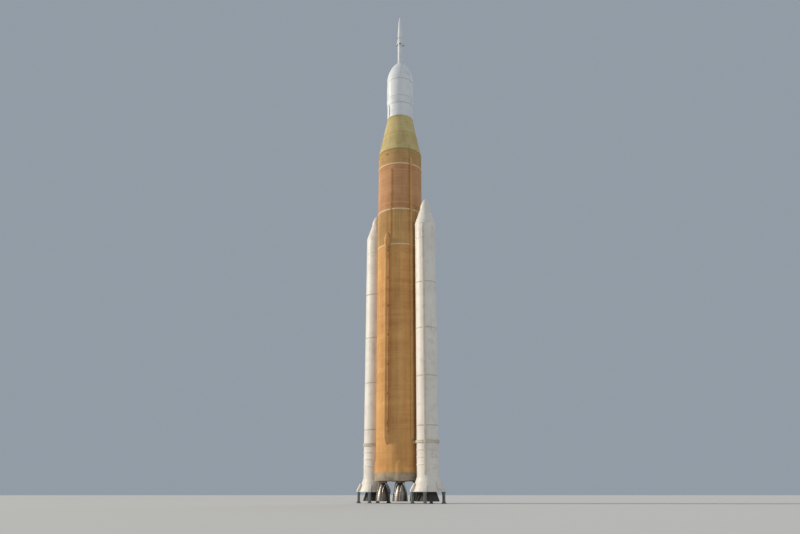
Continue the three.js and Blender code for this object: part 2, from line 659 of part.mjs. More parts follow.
// The attitude motor, with a ring of eight ports.
function attitudeMotor() {
  const height = ABORT_NOSE_Z - ATTITUDE_MOTOR_Z;
  const radius = TOWER_R - 0.03;
  const tube = turned([
    [0, 0], [radius, 0], [radius, 0.5], [TOWER_R - 0.1, height], [0, height],
  ], TOWER_SIDES);
  const port = cylinder(0.065, radius - 0.1, radius + 0.025, 6).rotate([0, 90, 0]).translate([0, 0, 0.26]);
  const angles = Array.from({ length: 8 }, (_, i) => 22.5 + 45 * i);
  return joined([tube, ...around(port, angles)]);
}

function abortNose() {
  const height = TOP_Z - ABORT_NOSE_Z;
  return turned([[0, 0], ...ogive(TOWER_R - 0.1, 0.1, height - 0.08, 0, 5), [0, height]], TOWER_SIDES);
}

function addUpperPieces(rocket) {
  const upper = new THREE.Group();
  rocket.add(upper);
  piece(upper, 'stage_adapter', 'tan_foam', stageAdapter(), 0, 0, STAGE_ADAPTER_Z);
  piece(upper, 'upper_stage', 'spacecraft_white', upperStage(), 0, 0, UPPER_STAGE_Z);
  piece(upper, 'spacecraft_adapter', 'spacecraft_white', spacecraftAdapter(), 0, 0, SPACECRAFT_ADAPTER_Z);
  for (let i = 0; i < PANEL_COUNT; i += 1) {
    piece(upper, `service_panel_${i + 1}`, 'spacecraft_white', servicePanel(i), 0, 0, SERVICE_PANELS_Z);
  }
  piece(upper, 'crew_fairing', 'spacecraft_white', crewFairing(), 0, 0, CREW_FAIRING_Z);
  piece(upper, 'abort_motor', 'spacecraft_white', abortMotor(), 0, 0, ABORT_MOTOR_Z);
  piece(upper, 'jettison_motor', 'spacecraft_white', jettisonMotor(), 0, 0, JETTISON_MOTOR_Z);
  piece(upper, 'attitude_motor', 'spacecraft_white', attitudeMotor(), 0, 0, ATTITUDE_MOTOR_Z);
  piece(upper, 'abort_nose_cone', 'spacecraft_white', abortNose(), 0, 0, ABORT_NOSE_Z);
}

const group = new THREE.Group();
addCoreStage(group);
addMainEngines(group);
addBooster(group, 'right', BOOSTER_X, 0);
addBooster(group, 'left', -BOOSTER_X, Math.PI);
addUpperPieces(group);

export default group;
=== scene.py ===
"""A heavy launch rocket, 1:10: an orange foam core stage, two white boosters on support posts,
a tan stage adapter, a white spacecraft and its abort tower. Every size is in the model's metres."""

import itertools
import math

import bmesh
import bpy
import numpy as np
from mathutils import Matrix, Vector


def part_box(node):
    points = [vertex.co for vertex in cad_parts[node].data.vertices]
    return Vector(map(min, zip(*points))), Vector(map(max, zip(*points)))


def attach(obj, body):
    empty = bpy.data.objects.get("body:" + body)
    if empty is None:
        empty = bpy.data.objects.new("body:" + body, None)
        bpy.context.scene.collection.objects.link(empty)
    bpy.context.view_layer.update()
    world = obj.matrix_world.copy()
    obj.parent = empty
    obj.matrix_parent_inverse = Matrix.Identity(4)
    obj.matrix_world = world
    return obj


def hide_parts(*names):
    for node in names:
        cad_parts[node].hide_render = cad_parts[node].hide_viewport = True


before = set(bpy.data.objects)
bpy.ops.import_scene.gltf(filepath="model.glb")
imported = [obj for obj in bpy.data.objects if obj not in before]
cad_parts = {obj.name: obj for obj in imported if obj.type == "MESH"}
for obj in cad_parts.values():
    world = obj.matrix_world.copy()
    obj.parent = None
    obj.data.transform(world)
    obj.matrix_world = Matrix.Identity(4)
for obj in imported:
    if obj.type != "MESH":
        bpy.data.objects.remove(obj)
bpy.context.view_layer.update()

M = 0.1  # a real metre at the model's scale
TURN = 2 * math.pi
CORE_BODY = "rocket"


# Camera, light and floor

VIEW_AZIMUTH = 43  # degrees: the right booster is at the right and nearer, as in the photo
CAMERA_DISTANCE = 12.6
CAMERA_HEIGHT = 0.14
AIM_HEIGHT = 4.24
LENS = 31.5
FLOOR_R = 250
FLOOR_SIDES = 180
LAMPS = [
    # name, degrees round from the camera, degrees up, strength, colour, spread in degrees
    ("key_light", -94, 22, 2.85, (1.0, 0.91, 0.77), 8),
    ("fill_light", 40, 28, 0.32, (1.0, 0.95, 0.89), 50),
    ("back_light", 170, 40, 0.3, (0.95, 0.97, 1.0), 40),
]


def aimed(name, data, azimuth, reach, high, target=0.0):
    """An object reach out from Z, azimuth degrees round from -Y, that looks at a height on Z."""
    obj = bpy.data.objects.new(name, data)
    bpy.context.scene.collection.objects.link(obj)
    a = math.radians(azimuth)
    obj.location = (reach * math.sin(a), -reach * math.cos(a), high)
    obj.rotation_euler = (math.atan2(reach, high - target), 0, a)
    return obj


def add_studio():
    """A camera at floor level that looks up, as the photo does, a warm key from the left, a weak fill
    from the right, an even pale surround and a pale floor."""
    scene = bpy.context.scene
    camera = bpy.data.cameras.new("camera")
    camera.lens = LENS
    camera.clip_end = 2 * FLOOR_R
    scene.camera = aimed("camera", camera, VIEW_AZIMUTH, CAMERA_DISTANCE, CAMERA_HEIGHT, AIM_HEIGHT)
    scene.view_settings.view_transform = "Standard"
    for name, azimuth, elevation, strength, color, spread in LAMPS:
        lamp = bpy.data.lights.new(name, "SUN")
        lamp.energy, lamp.color, lamp.angle = strength, color, math.radians(spread)
        up = math.radians(elevation)
        aimed(name, lamp, VIEW_AZIMUTH + azimuth, math.cos(up), math.sin(up))
    scene.world = bpy.data.worlds.new("studio")
    scene.world.use_nodes = True
    surround = scene.world.node_tree.nodes["Background"]
    surround.inputs["Color"].default_value = (0.55, 0.63, 0.72, 1)
    surround.inputs["Strength"].default_value = 0.53
    a = np.arange(FLOOR_SIDES) * TURN / FLOOR_SIDES
    rim = FLOOR_R * np.stack([np.cos(a), np.sin(a), 0 * a], -1)
    mesh = bpy.data.meshes.new("floor")
    mesh.from_pydata(rim.tolist(), [], [list(range(FLOOR_SIDES))])
    floor = bpy.data.objects.new("floor", mesh)
    scene.collection.objects.link(floor)
    material = bpy.data.materials.new("pale_floor")
    material.use_nodes = True
    shader = material.node_tree.nodes["Principled BSDF"]
    shader.inputs["Base Color"].default_value = (0.62, 0.61, 0.59, 1)
    shader.inputs["Roughness"].default_value = 0.9
    mesh.materials.append(material)


# Forms: a form is (points, faces), points as rows of x, y, z and faces as a list of index arrays,
# one array for each number of corners

def joined(*forms):
    """All the forms as one, with the faces counted on."""
    starts = np.cumsum([0] + [len(points) for points, _ in forms])
    faces = [part + start for (_, own), start in zip(forms, starts) for part in own]
    return np.concatenate([points for points, _ in forms]), faces


def outward(points, faces):
    """The form with its faces turned so that the volume inside them is positive."""
    volume = 0.0
    for part in faces:
        for k in range(1, part.shape[1] - 1):
            a, b, c = points[part[:, 0]], points[part[:, k]], points[part[:, k + 1]]
            volume += np.einsum("ij,ij->i", a, np.cross(b, c)).sum()
    return points, [part[:, ::-1] for part in faces] if volume < 0 else faces


def lofted(grid, ends="closed"):
    """A skin over a grid of rows, each row a closed ring of points. The ends are closed by a fan to
    each end row's middle, or "ring" joins the last row to the first."""
    rows, columns = grid.shape[:2]
    points = grid.reshape(-1, 3)
    i, j = np.indices((rows if ends == "ring" else rows - 1, columns))
    i2, j2 = (i + 1) % rows * columns, (j + 1) % columns
    i = i * columns
    faces = [np.stack([i + j, i + j2, i2 + j2, i2 + j], -1).reshape(-1, 4)]
    if ends == "closed":
        around = np.arange(columns)
        beside, last = (around + 1) % columns, (rows - 1) * columns
        middle = np.full(columns, len(points))
        points = np.concatenate([points, grid[:1].mean(1), grid[-1:].mean(1)])
        faces += [np.stack([beside, around, middle], -1),
                  np.stack([last + around, last + beside, middle + 1], -1)]
    return outward(points, faces)


def eased(outline, reach, steps=3):
    """The outline with each inner corner swapped for a curve that starts and ends at most reach from
    it: point = (1-t)^2 a + 2t(1-t) corner + t^2 b."""
    rows = np.asarray(outline, float)
    made = [rows[:1]]
    t = np.linspace(0, 1, steps + 1)[:, None]
    for before, corner, after in zip(rows[:-2], rows[1:-1], rows[2:]):
        a, b = [corner + leg * min(0.45, reach / max(np.linalg.norm(leg), 1e-9))
                for leg in (before - corner, after - corner)]
        made.append((1 - t) ** 2 * a + 2 * t * (1 - t) * corner + t**2 * b)
    return np.concatenate(made + [rows[-1:]])


def finer(outline, step, heights=()):
    """The outline with its long legs cut into even steps, and with a row at each of the heights."""
    rows = np.asarray(outline, float)
    made = [rows[:1]]
    for a, b in zip(rows[:-1], rows[1:]):
        rise = b[1] - a[1]
        parts = max(1, int(np.ceil(np.linalg.norm(b - a) / step)))
        t = np.arange(1, parts + 1) / parts
        if abs(rise) > 1e-6:
            own = [(h - a[1]) / rise for h in heights]
            t = np.union1d(t, [x for x in own if 1e-4 < x < 1 - 1e-4])
        made.append(a + (b - a) * t[:, None])
    return np.concatenate(made)


def swept(outline, angles, relief=None):
    """The grid of points of a profile of rows (radius, height) at the angles round Z: x = r cos a,
    y = r sin a. relief(a, z) is added to r."""
    rows = np.asarray(outline, float)
    around, height = np.meshgrid(angles, rows[:, 1])
    radius = rows[:, :1] + (relief(around, height) if relief else 0)
    return np.stack([radius * np.cos(around), radius * np.sin(around), height], -1)


def turned(outline, sides=96, relief=None, ends="closed"):
    """A profile turned all round Z, in even steps."""
    return lofted(swept(outline, np.arange(sides) * TURN / sides, relief), ends)


EDGE = 0.0004  # how wide the slope of a step in a wall is
ALL_ROUND = 180  # a patch's half width in degrees where it has no side edges


def patch_lift(patches):
    """A relief for a wall: the sum of the lifts of the patches that a point lies in. A patch is
    (middle angle and half width in degrees, foot, top, lift)."""
    def relief(a, z):
        total = np.zeros_like(a)
        for middle, half, foot, top, lift in patches:
            off = np.abs((a - math.radians(middle) + math.pi) % TURN - math.pi)
            total += np.where((off <= math.radians(half)) & (z > foot) & (z < top), lift, 0)
        return total
    return relief


def patch_edges(patches):
    """The angles and the heights where patches start or end, each as the two sides of a step."""
    turns = [math.radians(middle + side * half) for middle, half, *_ in patches if half < ALL_ROUND
             for side in (-1, 1)]
    turns, heights = [np.add.outer((-EDGE / 2, EDGE / 2), sorted(set(values))).ravel()
                      for values in (turns, [z for row in patches for z in row[2:4]])]
    return turns % TURN, heights


def apart(values):
    """The values without those that lie within a hair of the one before."""
    return values[np.diff(values, prepend=-np.inf) > 1e-5]


def stepped_wall(outline, patches, step, sides, waves=None):
    """A turned wall with raised and sunk patches; waves is a second relief over all of it."""
    turns, heights = patch_edges(patches)
    angles = apart(np.union1d(np.arange(sides) * TURN / sides, turns))
    lift = patch_lift(patches)
    return lofted(swept(finer(outline, step, heights), angles,
                        lambda a, z: lift(a, z) + (waves(a, z) if waves else 0)))


COVER_GROOVE = 0.003  # width of the groove round a cover


def cover(angles, radius, width, foot, top, lift, *_):
    """Patches for a raised cover at each of the angles in degrees: a groove round it, its frame and a
    smaller plate on that."""
    half = math.degrees(math.asin(width / 2 / radius))
    gap = math.degrees(COVER_GROOVE / radius)
    inset = 0.12 * (top - foot)
    rows = []
    for angle in angles:
        rows += [(angle, half + gap, foot - COVER_GROOVE, top + COVER_GROOVE, -COVER_GROOVE / 2),
                 (angle, half, foot, top, 0.6 * lift + COVER_GROOVE / 2),
                 (angle, 0.8 * half, foot + inset, top - inset, 0.4 * lift)]
    return rows


def screws(angles, radius, width, foot, top, lift, lean=0.0):
    """Screw heads round the frames of the covers that cover makes from the same values. lean is what
    the wall's radius loses with each metre of height."""
    half = math.degrees(math.asin(width / 2 / radius))
    middle, tall = (foot + top) / 2, top - foot
    spots = [(side * 0.9, up) for side in (-1, 1) for up in np.linspace(-0.44, 0.44, 5)]
    spots += [(0.45 * across, up) for across in (-1, 0, 1) for up in (-0.44, 0.44)]
    return joined(*[ring_of(dome_head(0.0018, 0.0013, 8), np.array(angles) + across * half,
                            radius - lean * up * tall + 0.6 * lift - 0.0004, middle + up * tall, 90)
                    for across, up in spots])


def covered_wall(outline, covers, step, sides, patches=(), waves=None):
    """A stepped wall with screwed covers, in rows of the values that cover takes."""
    patches = sum([cover(*row) for row in covers], list(patches))
    wall = stepped_wall(outline, patches, step, sides, waves)
    return joined(wall, *[screws(*row) for row in covers])


def bands_on(radius, bands, lean=0.0, foot=0.0):
    """Four rows for each low raised band (height, half height, lift) on a wall whose radius falls by
    lean for each metre above foot."""
    rows = []
    for z, half, lift in bands:
        for up, h in ((0, z - half - 0.001), (lift, z - half), (lift, z + half), (0, z + half + 0.001)):
            rows.append((radius + up - lean * (h - foot), h))
    return rows


def barrel(radius, foot, top, bands=(), edge=0.0015):
    """A straight wall with raised bands and small rounded ends."""
    return [(radius - edge, foot), (radius, foot + edge), *bands_on(radius, sorted(bands)),
            (radius, top - edge), (radius - edge, top)]


def rows_from(radius, z, steps):
    """Rows of an outline from steps (out, up) off a radius and a height."""
    return [(radius + out, z + up) for out, up in steps]


def mirrored(rows, total):
    """The rows, and after them the same ones back again with their second values taken from total."""
    return rows + [(r, total - z) for r, z in rows[::-1]]


def hoop(radius, z, out, half, sides=96):
    """A ring round a wall of that radius: a low trapezoid section, 2 half high at its seat."""
    rows = rows_from(radius, z, [(-0.001, -half), (out, -0.7 * half)])
    return turned(mirrored(rows, 2 * z), sides, ends="ring")


def hoops_on(outline, heights, out, half, sides=96):
    """A hoop round a turned outline at each of the heights."""
    return joined(*[hoop(np.interp(z, outline[:, 1], outline[:, 0]), z, out, half, sides)
                    for z in heights])


def tube(path, radius, sides=12, side=(0, 0, 1)):
    """A round pipe: at each point of the path, a circle square to it. side is any direction that the
    path never runs along."""
    path = np.asarray(path, float)
    ahead = np.gradient(path, axis=0)
    ahead /= np.linalg.norm(ahead, axis=1)[:, None]
    across = np.cross(ahead, side)
    across /= np.linalg.norm(across, axis=1)[:, None]
    over = np.cross(across, ahead)
    a = (np.arange(sides) * TURN / sides)[:, None]
    return lofted(path[:, None] + radius * (across[:, None] * np.cos(a) + over[:, None] * np.sin(a)))


def curve(points, steps=8):
    """A smooth path through the points, with steps between each two: cubics whose slope at each point
    is half the way from the point before to the one after."""
    p = np.asarray(points, float)
    p = np.concatenate([2 * p[:1] - p[1:2], p, 2 * p[-1:] - p[-2:-1]])
    t = (np.arange(steps) / steps)[:, None]
    made = [0.5 * (2 * b + (c - a) * t + (2 * a - 5 * b + 4 * c - d) * t**2
                   + (3 * b - a - 3 * c + d) * t**3)
            for a, b, c, d in zip(p[:-3], p[1:-2], p[2:-1], p[3:])]
    return np.concatenate(made + [p[-2:-1]])


def block(size, bevel=0.001, middle=(0, 0, 0)):
    """A box with chamfered edges: each corner is three points, one on each face that meets there. A
    face joins the points that reach farthest towards a side, an edge or a corner, in their order
    round that direction."""
    half = np.asarray(size, float) / 2
    bevel = min(bevel, 0.45 * half.min())
    signs = np.array(list(itertools.product((-1, 1), repeat=3)))
    points = (signs[:, None] * (half - bevel * (1 - np.eye(3)))).reshape(-1, 3)
    faces = {3: [], 4: []}
    for toward in itertools.product((-1, 0, 1), repeat=3):
        if any(toward):
            reach = points @ toward
            ring = np.flatnonzero(reach > reach.max() - 1e-9)
            own = points[ring] - points[ring].mean(0)
            turn = np.arctan2(own @ np.cross(toward, own[0]), own @ own[0])
            faces[len(ring)].append(ring[np.argsort(turn)])
    return points + middle, [np.array(part) for part in faces.values()]


def slab(outline, width, bevel=0.0015):
    """A bar of an even width along Y over an outline of (x, z) rows, with chamfered edges: the outline
    is drawn in by bevel at both ends, along the mean of the normals at each corner."""
    rows = np.asarray(outline, float)
    ahead = np.roll(rows, -1, 0) - rows
    normal = np.stack([ahead[:, 1], -ahead[:, 0]], 1)
    normal /= np.linalg.norm(normal, axis=1)[:, None]
    x, z = rows.T
    if (x * np.roll(z, -1) - np.roll(x, -1) * z).sum() < 0:
        normal = -normal
    before = np.roll(normal, 1, 0)
    inset = rows - bevel * (normal + before) / (1 + (normal * before).sum(1))[:, None]
    half = width / 2
    levels = ((inset, -half), (rows, bevel - half), (rows, half - bevel), (inset, half))
    return lofted(np.array([np.insert(flat, 1, y, axis=1) for flat, y in levels]))


def matrix(turn_z=0.0, move=(0, 0, 0), tilt_y=0.0, tilt_x=0.0):
    """A 4 x 4 matrix: tilted about X, then about Y, then turned about Z, all in degrees, then moved."""
    made = np.eye(4)
    for angle, (i, j) in ((tilt_x, (1, 2)), (tilt_y, (2, 0)), (turn_z, (0, 1))):
        a = math.radians(angle)
        turn = np.eye(4)
        turn[i, i] = turn[j, j] = math.cos(a)
        turn[j, i], turn[i, j] = math.sin(a), -math.sin(a)
        made = turn @ made
    made[:3, 3] = move
    return made


def placed(form, *matrices):
    """A copy of the form at each of the matrices."""
    return joined(*[(form[0] @ m[:3, :3].T + m[:3, 3], form[1]) for m in matrices])


def moved(form, x=0.0, y=0.0, z=0.0):
    """The form with x, y and z added to its points."""
    return form[0] + np.array([x, y, z]), form[1]


def ring_of(form, angles, radius, z=0.0, tilt=0.0):
    """The form, tilted about Y and radius out on +X, repeated at the angles in degrees."""
    return placed(form, *[matrix(a) @ matrix(0, (radius, 0, z), tilt) for a in angles])


def dome_head(radius, high, sides):
    """A small fastener: a short drum with a rounded top."""
    return turned([(radius, 0), (radius, high * 0.6), (radius * 0.7, high)], sides)


def bolts_round(count, radius, z, size=0.0028, high=0.002, sides=8, start=0.0):
    """Evenly spaced heads that face outwards round a wall."""
    return ring_of(dome_head(size, high, sides), np.arange(count) * 360 / count + start, radius, z, 90)


# Pieces

SEWN = ("base_insulation", "abort_motor_case", "jettison_motor_case")


def add_piece(name, form, finish, node=None, body=CORE_BODY, sharp=32):
    """Puts a form in the scene as one mesh that rides on a body and may stand for a CAD node. Where it
    is sewn, points that lie together become one and each closed body's faces turn outwards."""
    points, faces = form
    material, slot = finish
    corners = np.concatenate([part.ravel() for part in faces]).astype(np.int32)
    sides = np.concatenate([np.full(len(part), part.shape[1]) for part in faces]).astype(np.int32)
    mesh = bpy.data.meshes.new(name)
    mesh.vertices.add(len(points))
    mesh.vertices.foreach_set("co", points.astype(np.float32).ravel())
    mesh.loops.add(len(corners))
    mesh.loops.foreach_set("vertex_index", corners)
    mesh.polygons.add(len(sides))
    mesh.polygons.foreach_set("loop_start", (np.cumsum(sides) - sides).astype(np.int32))
    mesh.polygons.foreach_set("loop_total", sides)
    mesh.update(calc_edges=True)
    mesh.validate()
    if name in SEWN:
        cloth = bmesh.new()
        cloth.from_mesh(mesh)
        bmesh.ops.remove_doubles(cloth, verts=cloth.verts, dist=1e-5)
        bmesh.ops.recalc_face_normals(cloth, faces=cloth.faces)
        cloth.to_mesh(mesh)
        cloth.free()
    mesh.shade_smooth()
    mesh.set_sharp_from_angle(angle=math.radians(sharp))
    mesh.materials.append(material)
    obj = bpy.data.objects.new(name, mesh)
    bpy.context.scene.collection.objects.link(obj)
    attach(obj, body)
    if node:
        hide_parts(node)


def middle_of(node):
    """The middle of a node's box across X and Y."""
    low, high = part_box(node)
    return (low.x + high.x) / 2, (low.y + high.y) / 2


def span_of(node):
    """The heights of a node's foot and top."""
    low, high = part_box(node)
    return low.z, high.z


# Materials: a finish is (material, slot)

class Paint:
    """A node tree of a material or a group, with short calls for the nodes that these finishes need."""

    def __init__(self, tree):
        self.tree = tree

    def feed(self, socket, value):
        """Links an output to the socket, or sets a constant on it."""
        if isinstance(value, bpy.types.NodeSocket):
            self.tree.links.new(value, socket)
        else:
            socket.default_value = value

    def add(self, kind, inputs, **settings):
        """A new node with its settings made and its inputs fed, as its outputs."""
        node = self.tree.nodes.new("ShaderNode" + kind)
        for key, value in settings.items():
            setattr(node, key, value)
        for key, value in inputs.items():
            self.feed(node.inputs[key], value)
        return node.outputs

    def noise(self, scale, detail=4, stretch=(1, 1, 1), rough=0.55, move=(0, 0, 0), warp=0.0):
        """Noise over the Object coordinates, stretched and moved."""
        source = self.add("TexCoord", {})["Object"]
        place = self.add("Mapping", {"Vector": source, "Scale": stretch, "Location": move})["Vector"]
        return self.add("TexNoise", {"Vector": place, "Scale": scale, "Detail": detail,
                                     "Roughness": rough, "Distortion": warp})["Fac"]

    def height(self):
        """The Object coordinate Z."""
        return self.add("SeparateXYZ", {0: self.add("TexCoord", {})["Object"]})["Z"]

    def math(self, operation, first, *others, clamp=False):
        """An operation carried on from the first value over the others."""
        for other in others:
            first = self.add("Math", {0: first, 1: other}, operation=operation, use_clamp=clamp)[0]
        return first

    def plus(self, *values, clamp=False):
        """The sum of the values."""
        return self.math("ADD", *values, clamp=clamp)

    def times(self, *values):
        """The product of the values."""
        return self.math("MULTIPLY", *values)

    def between(self, value, low, high, to_low=0.0, to_high=1.0):
        """The value carried from low..high to to_low..to_high, held at the ends."""
        return self.add("MapRange", {"Value": value, "From Min": low, "From Max": high, "To Min": to_low,
                                     "To Max": to_high})["Result"]

    def mix(self, a, b, share):
        """Colour a where share is 0 and b where it is 1."""
        return self.add("Mix", {0: share, 6: a, 7: b}, data_type="RGBA")[2]

    def banded(self, color, z, bands, outside, inside):
        """The colour with other tones over bands (foot, top, tone, share) of the height z. Each end of a
        band is soft, from outside it to inside it."""
        for low, high, tone, share in bands:
            within = self.times(self.between(z, low - outside, low + inside),
                                self.between(z, high - inside, high + outside, share, 0.0))
            color = self.mix(color, tone, within)
        return color

    def bump(self, height, distance, strength):
        """A normal tilted by the slope of the height."""
        return self.add("Bump", {"Height": height, "Distance": distance, "Strength": strength})["Normal"]


def new_material(name):
    """A material with nodes, and a Paint on it."""
    material = bpy.data.materials.new(name)
    material.use_nodes = True
    return material, Paint(material.node_tree)


def finished(material, paint, color, roughness, normal, metallic=0.0):
    """The material with its shader's sockets fed."""
    shader = material.node_tree.nodes["Principled BSDF"]
    for key, value in (("Base Color", color), ("Roughness", roughness), ("Normal", normal),
                       ("Metallic", metallic)):
        paint.feed(shader.inputs[key], value)
    return material


def rgb(red, green, blue):
    """A colour as seen on a screen, 0 to 255, as the linear values that a shader takes."""
    parts = [x / 255 for x in (red, green, blue)]
    return tuple(x / 12.92 if x <= 0.04045 else ((x + 0.055) / 1.055) ** 2.4 for x in parts) + (1,)


def deeper(color, share):
    """The colour times share: a darker tone of it."""
    return tuple(share * c for c in color[:3]) + (1,)


def new_group(name, given, made):
    """An empty shader node group, a Paint on it, and its sockets: given has names and values, made has
    names and kinds."""
    tree = bpy.data.node_groups.new(name, "ShaderNodeTree")
    for label, value in given.items():
        kind = "NodeSocketFloat" if isinstance(value, float) else "NodeSocketColor"
        tree.interface.new_socket(name=label, in_out="INPUT", socket_type=kind).default_value = value
    for label, kind in made.items():
        tree.interface.new_socket(name=label, in_out="OUTPUT", socket_type="NodeSocket" + kind)
    return (tree, Paint(tree), tree.nodes.new("NodeGroupInput").outputs,
            tree.nodes.new("NodeGroupOutput").inputs)


def build_foam_group():
    """Sprayed foam: broad patches, a tone for each height, upright streaks, broken level passes, and
    a pebbled height."""
    tree, paint, given, out = new_group(
        "sprayed_foam", {"Light": (1, 1, 1, 1), "Dark": (0, 0, 0, 1), "Streaks": 0.5, "Passes": 0.5},
        {"Color": "Color", "Height": "Float"})
    broad = paint.between(paint.noise(2.4, 6, (1, 1, 0.5), warp=0.6), 0.34, 0.66)
    tiers = paint.between(paint.noise(2.1, 2, (0.05, 0.05, 1)), 0.36, 0.64)
    streaks = paint.between(paint.noise(15, 4, (1, 1, 0.03), warp=0.2), 0.34, 0.66, -0.5, 0.5)
    passes = paint.between(paint.noise(8, 4, (0.14, 0.14, 2.0), warp=0.5), 0.36, 0.64, -0.5, 0.5)
    broken = paint.between(paint.noise(3.1, 3, move=(4, 2, 7)), 0.4, 0.62)
    fine = paint.noise(95, 3)
    streaks = paint.times(streaks, given["Streaks"])
    passes = paint.times(passes, broken, given["Passes"])
    share = paint.plus(paint.times(broad, 0.55), paint.times(tiers, 0.45), paint.plus(streaks, passes),
                       paint.times(paint.plus(fine, -0.5), 0.5))
    color = paint.mix(given["Dark"], given["Light"], paint.between(share, -0.05, 1.05))
    paint.feed(out["Color"], color)
    paint.feed(out["Height"], paint.plus(paint.times(paint.noise(34, 4), 0.7), paint.times(fine, 0.3),
                                         paint.times(passes, 0.4)))
    return tree


def build_weather_group():
    """Weathering on paint: thin runs down the wall, smudges, and the share of dirt in all of it."""
    tree, paint, given, out = new_group("weathering", {"Runs": 0.5, "Smudges": 0.5},
                                        {"Grime": "Float", "Height": "Float"})
    runs = paint.between(paint.noise(38, 3, (1, 1, 0.025)), 0.52, 0.8)
    broken = paint.between(paint.noise(3.5, 3), 0.4, 0.66)
    smudges = paint.between(paint.noise(6.5, 6, rough=0.62), 0.5, 0.8)
    paint.feed(out["Grime"], paint.plus(paint.times(runs, broken, given["Runs"]),
                                        paint.times(smudges, given["Smudges"]), clamp=True))
    paint.feed(out["Height"], paint.noise(120, 3))
    return tree


FOAM = build_foam_group()
WEATHER = build_weather_group()


def foam(name, light, dark, bands=(), slot="orange_foam", streaks=0.5):
    """Sprayed foam in two tones, stained by weather. bands are (foot, top, colour, share) of heights
    where foam laid by hand covers a joint."""
    material, paint = new_material(name)
    spray = paint.add("Group", {"Light": light, "Dark": dark, "Streaks": streaks, "Passes": 0.5},
                      node_tree=FOAM)
    weather = paint.add("Group", {"Runs": 0.3, "Smudges": 0.22}, node_tree=WEATHER)
    color = paint.mix(spray["Color"], deeper(dark, 0.45), weather["Grime"])
    ragged = paint.between(paint.noise(22, 3), 0, 1, -0.006, 0.006)
    color = paint.banded(color, paint.plus(paint.height(), ragged), bands, 0.002, 0.002)
    roughness = paint.between(spray["Height"], 0.3, 0.7, 0.93, 0.78)
    return finished(material, paint, color, roughness, paint.bump(spray["Height"], 0.0014, 0.9)), slot


def weathered(name, slot, color, dirt, runs, smudges, roughness, grain=0.0003, bands=()):
    """Weathered paint over metal or cork: one tone that drifts, dirt in runs and smudges, a fine
    grain. bands are (foot, top, colour, share) of heights with another tone."""
    material, paint = new_material(name)
    weather = paint.add("Group", {"Runs": runs, "Smudges": smudges}, node_tree=WEATHER)
    tone = paint.between(paint.noise(1.7, 3, (1, 1, 1.6)), 0.3, 0.7)
    shade = paint.mix(color, deeper(color, 0.9), tone)
    shade = paint.banded(shade, paint.height(), bands, 0.001, 0)
    shade = paint.mix(shade, dirt, weather["Grime"])
    rough = paint.plus(paint.between(weather["Height"], 0.3, 0.7, -0.05, 0.05),
                       paint.between(weather["Grime"], 0, 1, roughness, roughness + 0.3))
    return finished(material, paint, shade, rough, paint.bump(weather["Height"], grain, 0.6)), slot


def metal(name, slot, light, dark, roughness, scale, stretch=(1, 1, 1)):
    """Bare metal with clouds of two tones and fine scratches."""
    material, paint = new_material(name)
    clouds = paint.between(paint.noise(scale, 5, stretch), 0.3, 0.7)
    scratches = paint.noise(240, 2, (1, 1, 0.2))
    rough = paint.plus(paint.between(clouds, 0, 1, roughness + 0.12, roughness - 0.05),
                       paint.between(scratches, 0.3, 0.7, -0.06, 0.06))
    return finished(material, paint, paint.mix(dark, light, clouds), rough,
                    paint.bump(scratches, 0.0002, 0.5), 1.0), slot


FLANGE_HIGH = 0.3 * M
WELD_MARGIN = 0.12  # from a tank's end to its first weld
BARREL_HIGH = 0.7  # a tank has one barrel for each of these in its height, rounded up


def tank_welds(foot, top):
    """The heights of the welds at the ends of a tank's barrels, in even steps between the margins."""
    return np.linspace(foot + WELD_MARGIN, top - WELD_MARGIN, math.ceil((top - foot) / BARREL_HIGH) + 1)


def bands_at(heights, half, tone, share):
    """Bands for Paint.banded, each from half below to half above its height."""
    return [(z - half, z + half, tone, share) for z in heights]


def weld_bands(node, tone):
    """Bands of a tone over a tank's welds."""
    return bands_at(tank_welds(*span_of(node)), 0.011, tone, 0.55)


intertank_foot, intertank_top = span_of("core_intertank")
skirt_foot = span_of("core_forward_skirt")[0]
adapter_foot = span_of("stage_adapter")[0]
joint_rings = [(foot, foot + FLANGE_HIGH, rgb(232, 204, 162), 0.85)
               for foot in (intertank_foot, intertank_top - FLANGE_HIGH, skirt_foot)]
craft_rings = bands_at((span_of("upper_stage")[1], span_of("spacecraft_adapter")[1],
                        span_of("crew_fairing")[0] + 0.004), 0.005, rgb(150, 154, 158), 0.7)
hydrogen_foam = foam("hydrogen_tank_foam", rgb(226, 173, 106), rgb(193, 137, 78),
                     weld_bands("core_hydrogen_tank", rgb(214, 166, 106)))
oxygen_foam = foam("oxygen_tank_foam", rgb(212, 160, 113), rgb(182, 130, 88),
                   weld_bands("core_oxygen_tank", rgb(212, 164, 116)))
skirt_foam = foam("forward_skirt_foam", rgb(202, 162, 106), rgb(170, 131, 79), joint_rings)
intertank_foam = foam("intertank_foam", rgb(221, 178, 118), rgb(187, 145, 89), joint_rings)
line_foam = foam("line_foam", rgb(225, 176, 112), rgb(196, 143, 85))
adapter_foam = foam("adapter_foam", rgb(216, 199, 143), rgb(186, 164, 107),
                    [(adapter_foot, adapter_foot + 0.028, rgb(146, 132, 82), 0.8)], "tan_foam", 0.35)
booster_paint = weathered("booster_paint", "booster_white", rgb(238, 233, 224), rgb(150, 136, 118),
                          0.55, 0.35, 0.5)
joint_paint = weathered("joint_paint", "booster_white", rgb(218, 208, 190), rgb(140, 124, 104),
                        0.5, 0.5, 0.6)
craft_paint = weathered("spacecraft_paint", "spacecraft_white", rgb(230, 235, 238), rgb(160, 160, 158),
                        0.3, 0.25, 0.5, bands=craft_rings)
tower_paint = weathered("tower_paint", "spacecraft_white", rgb(226, 230, 233), rgb(146, 146, 144),
                        0.35, 0.3, 0.45)
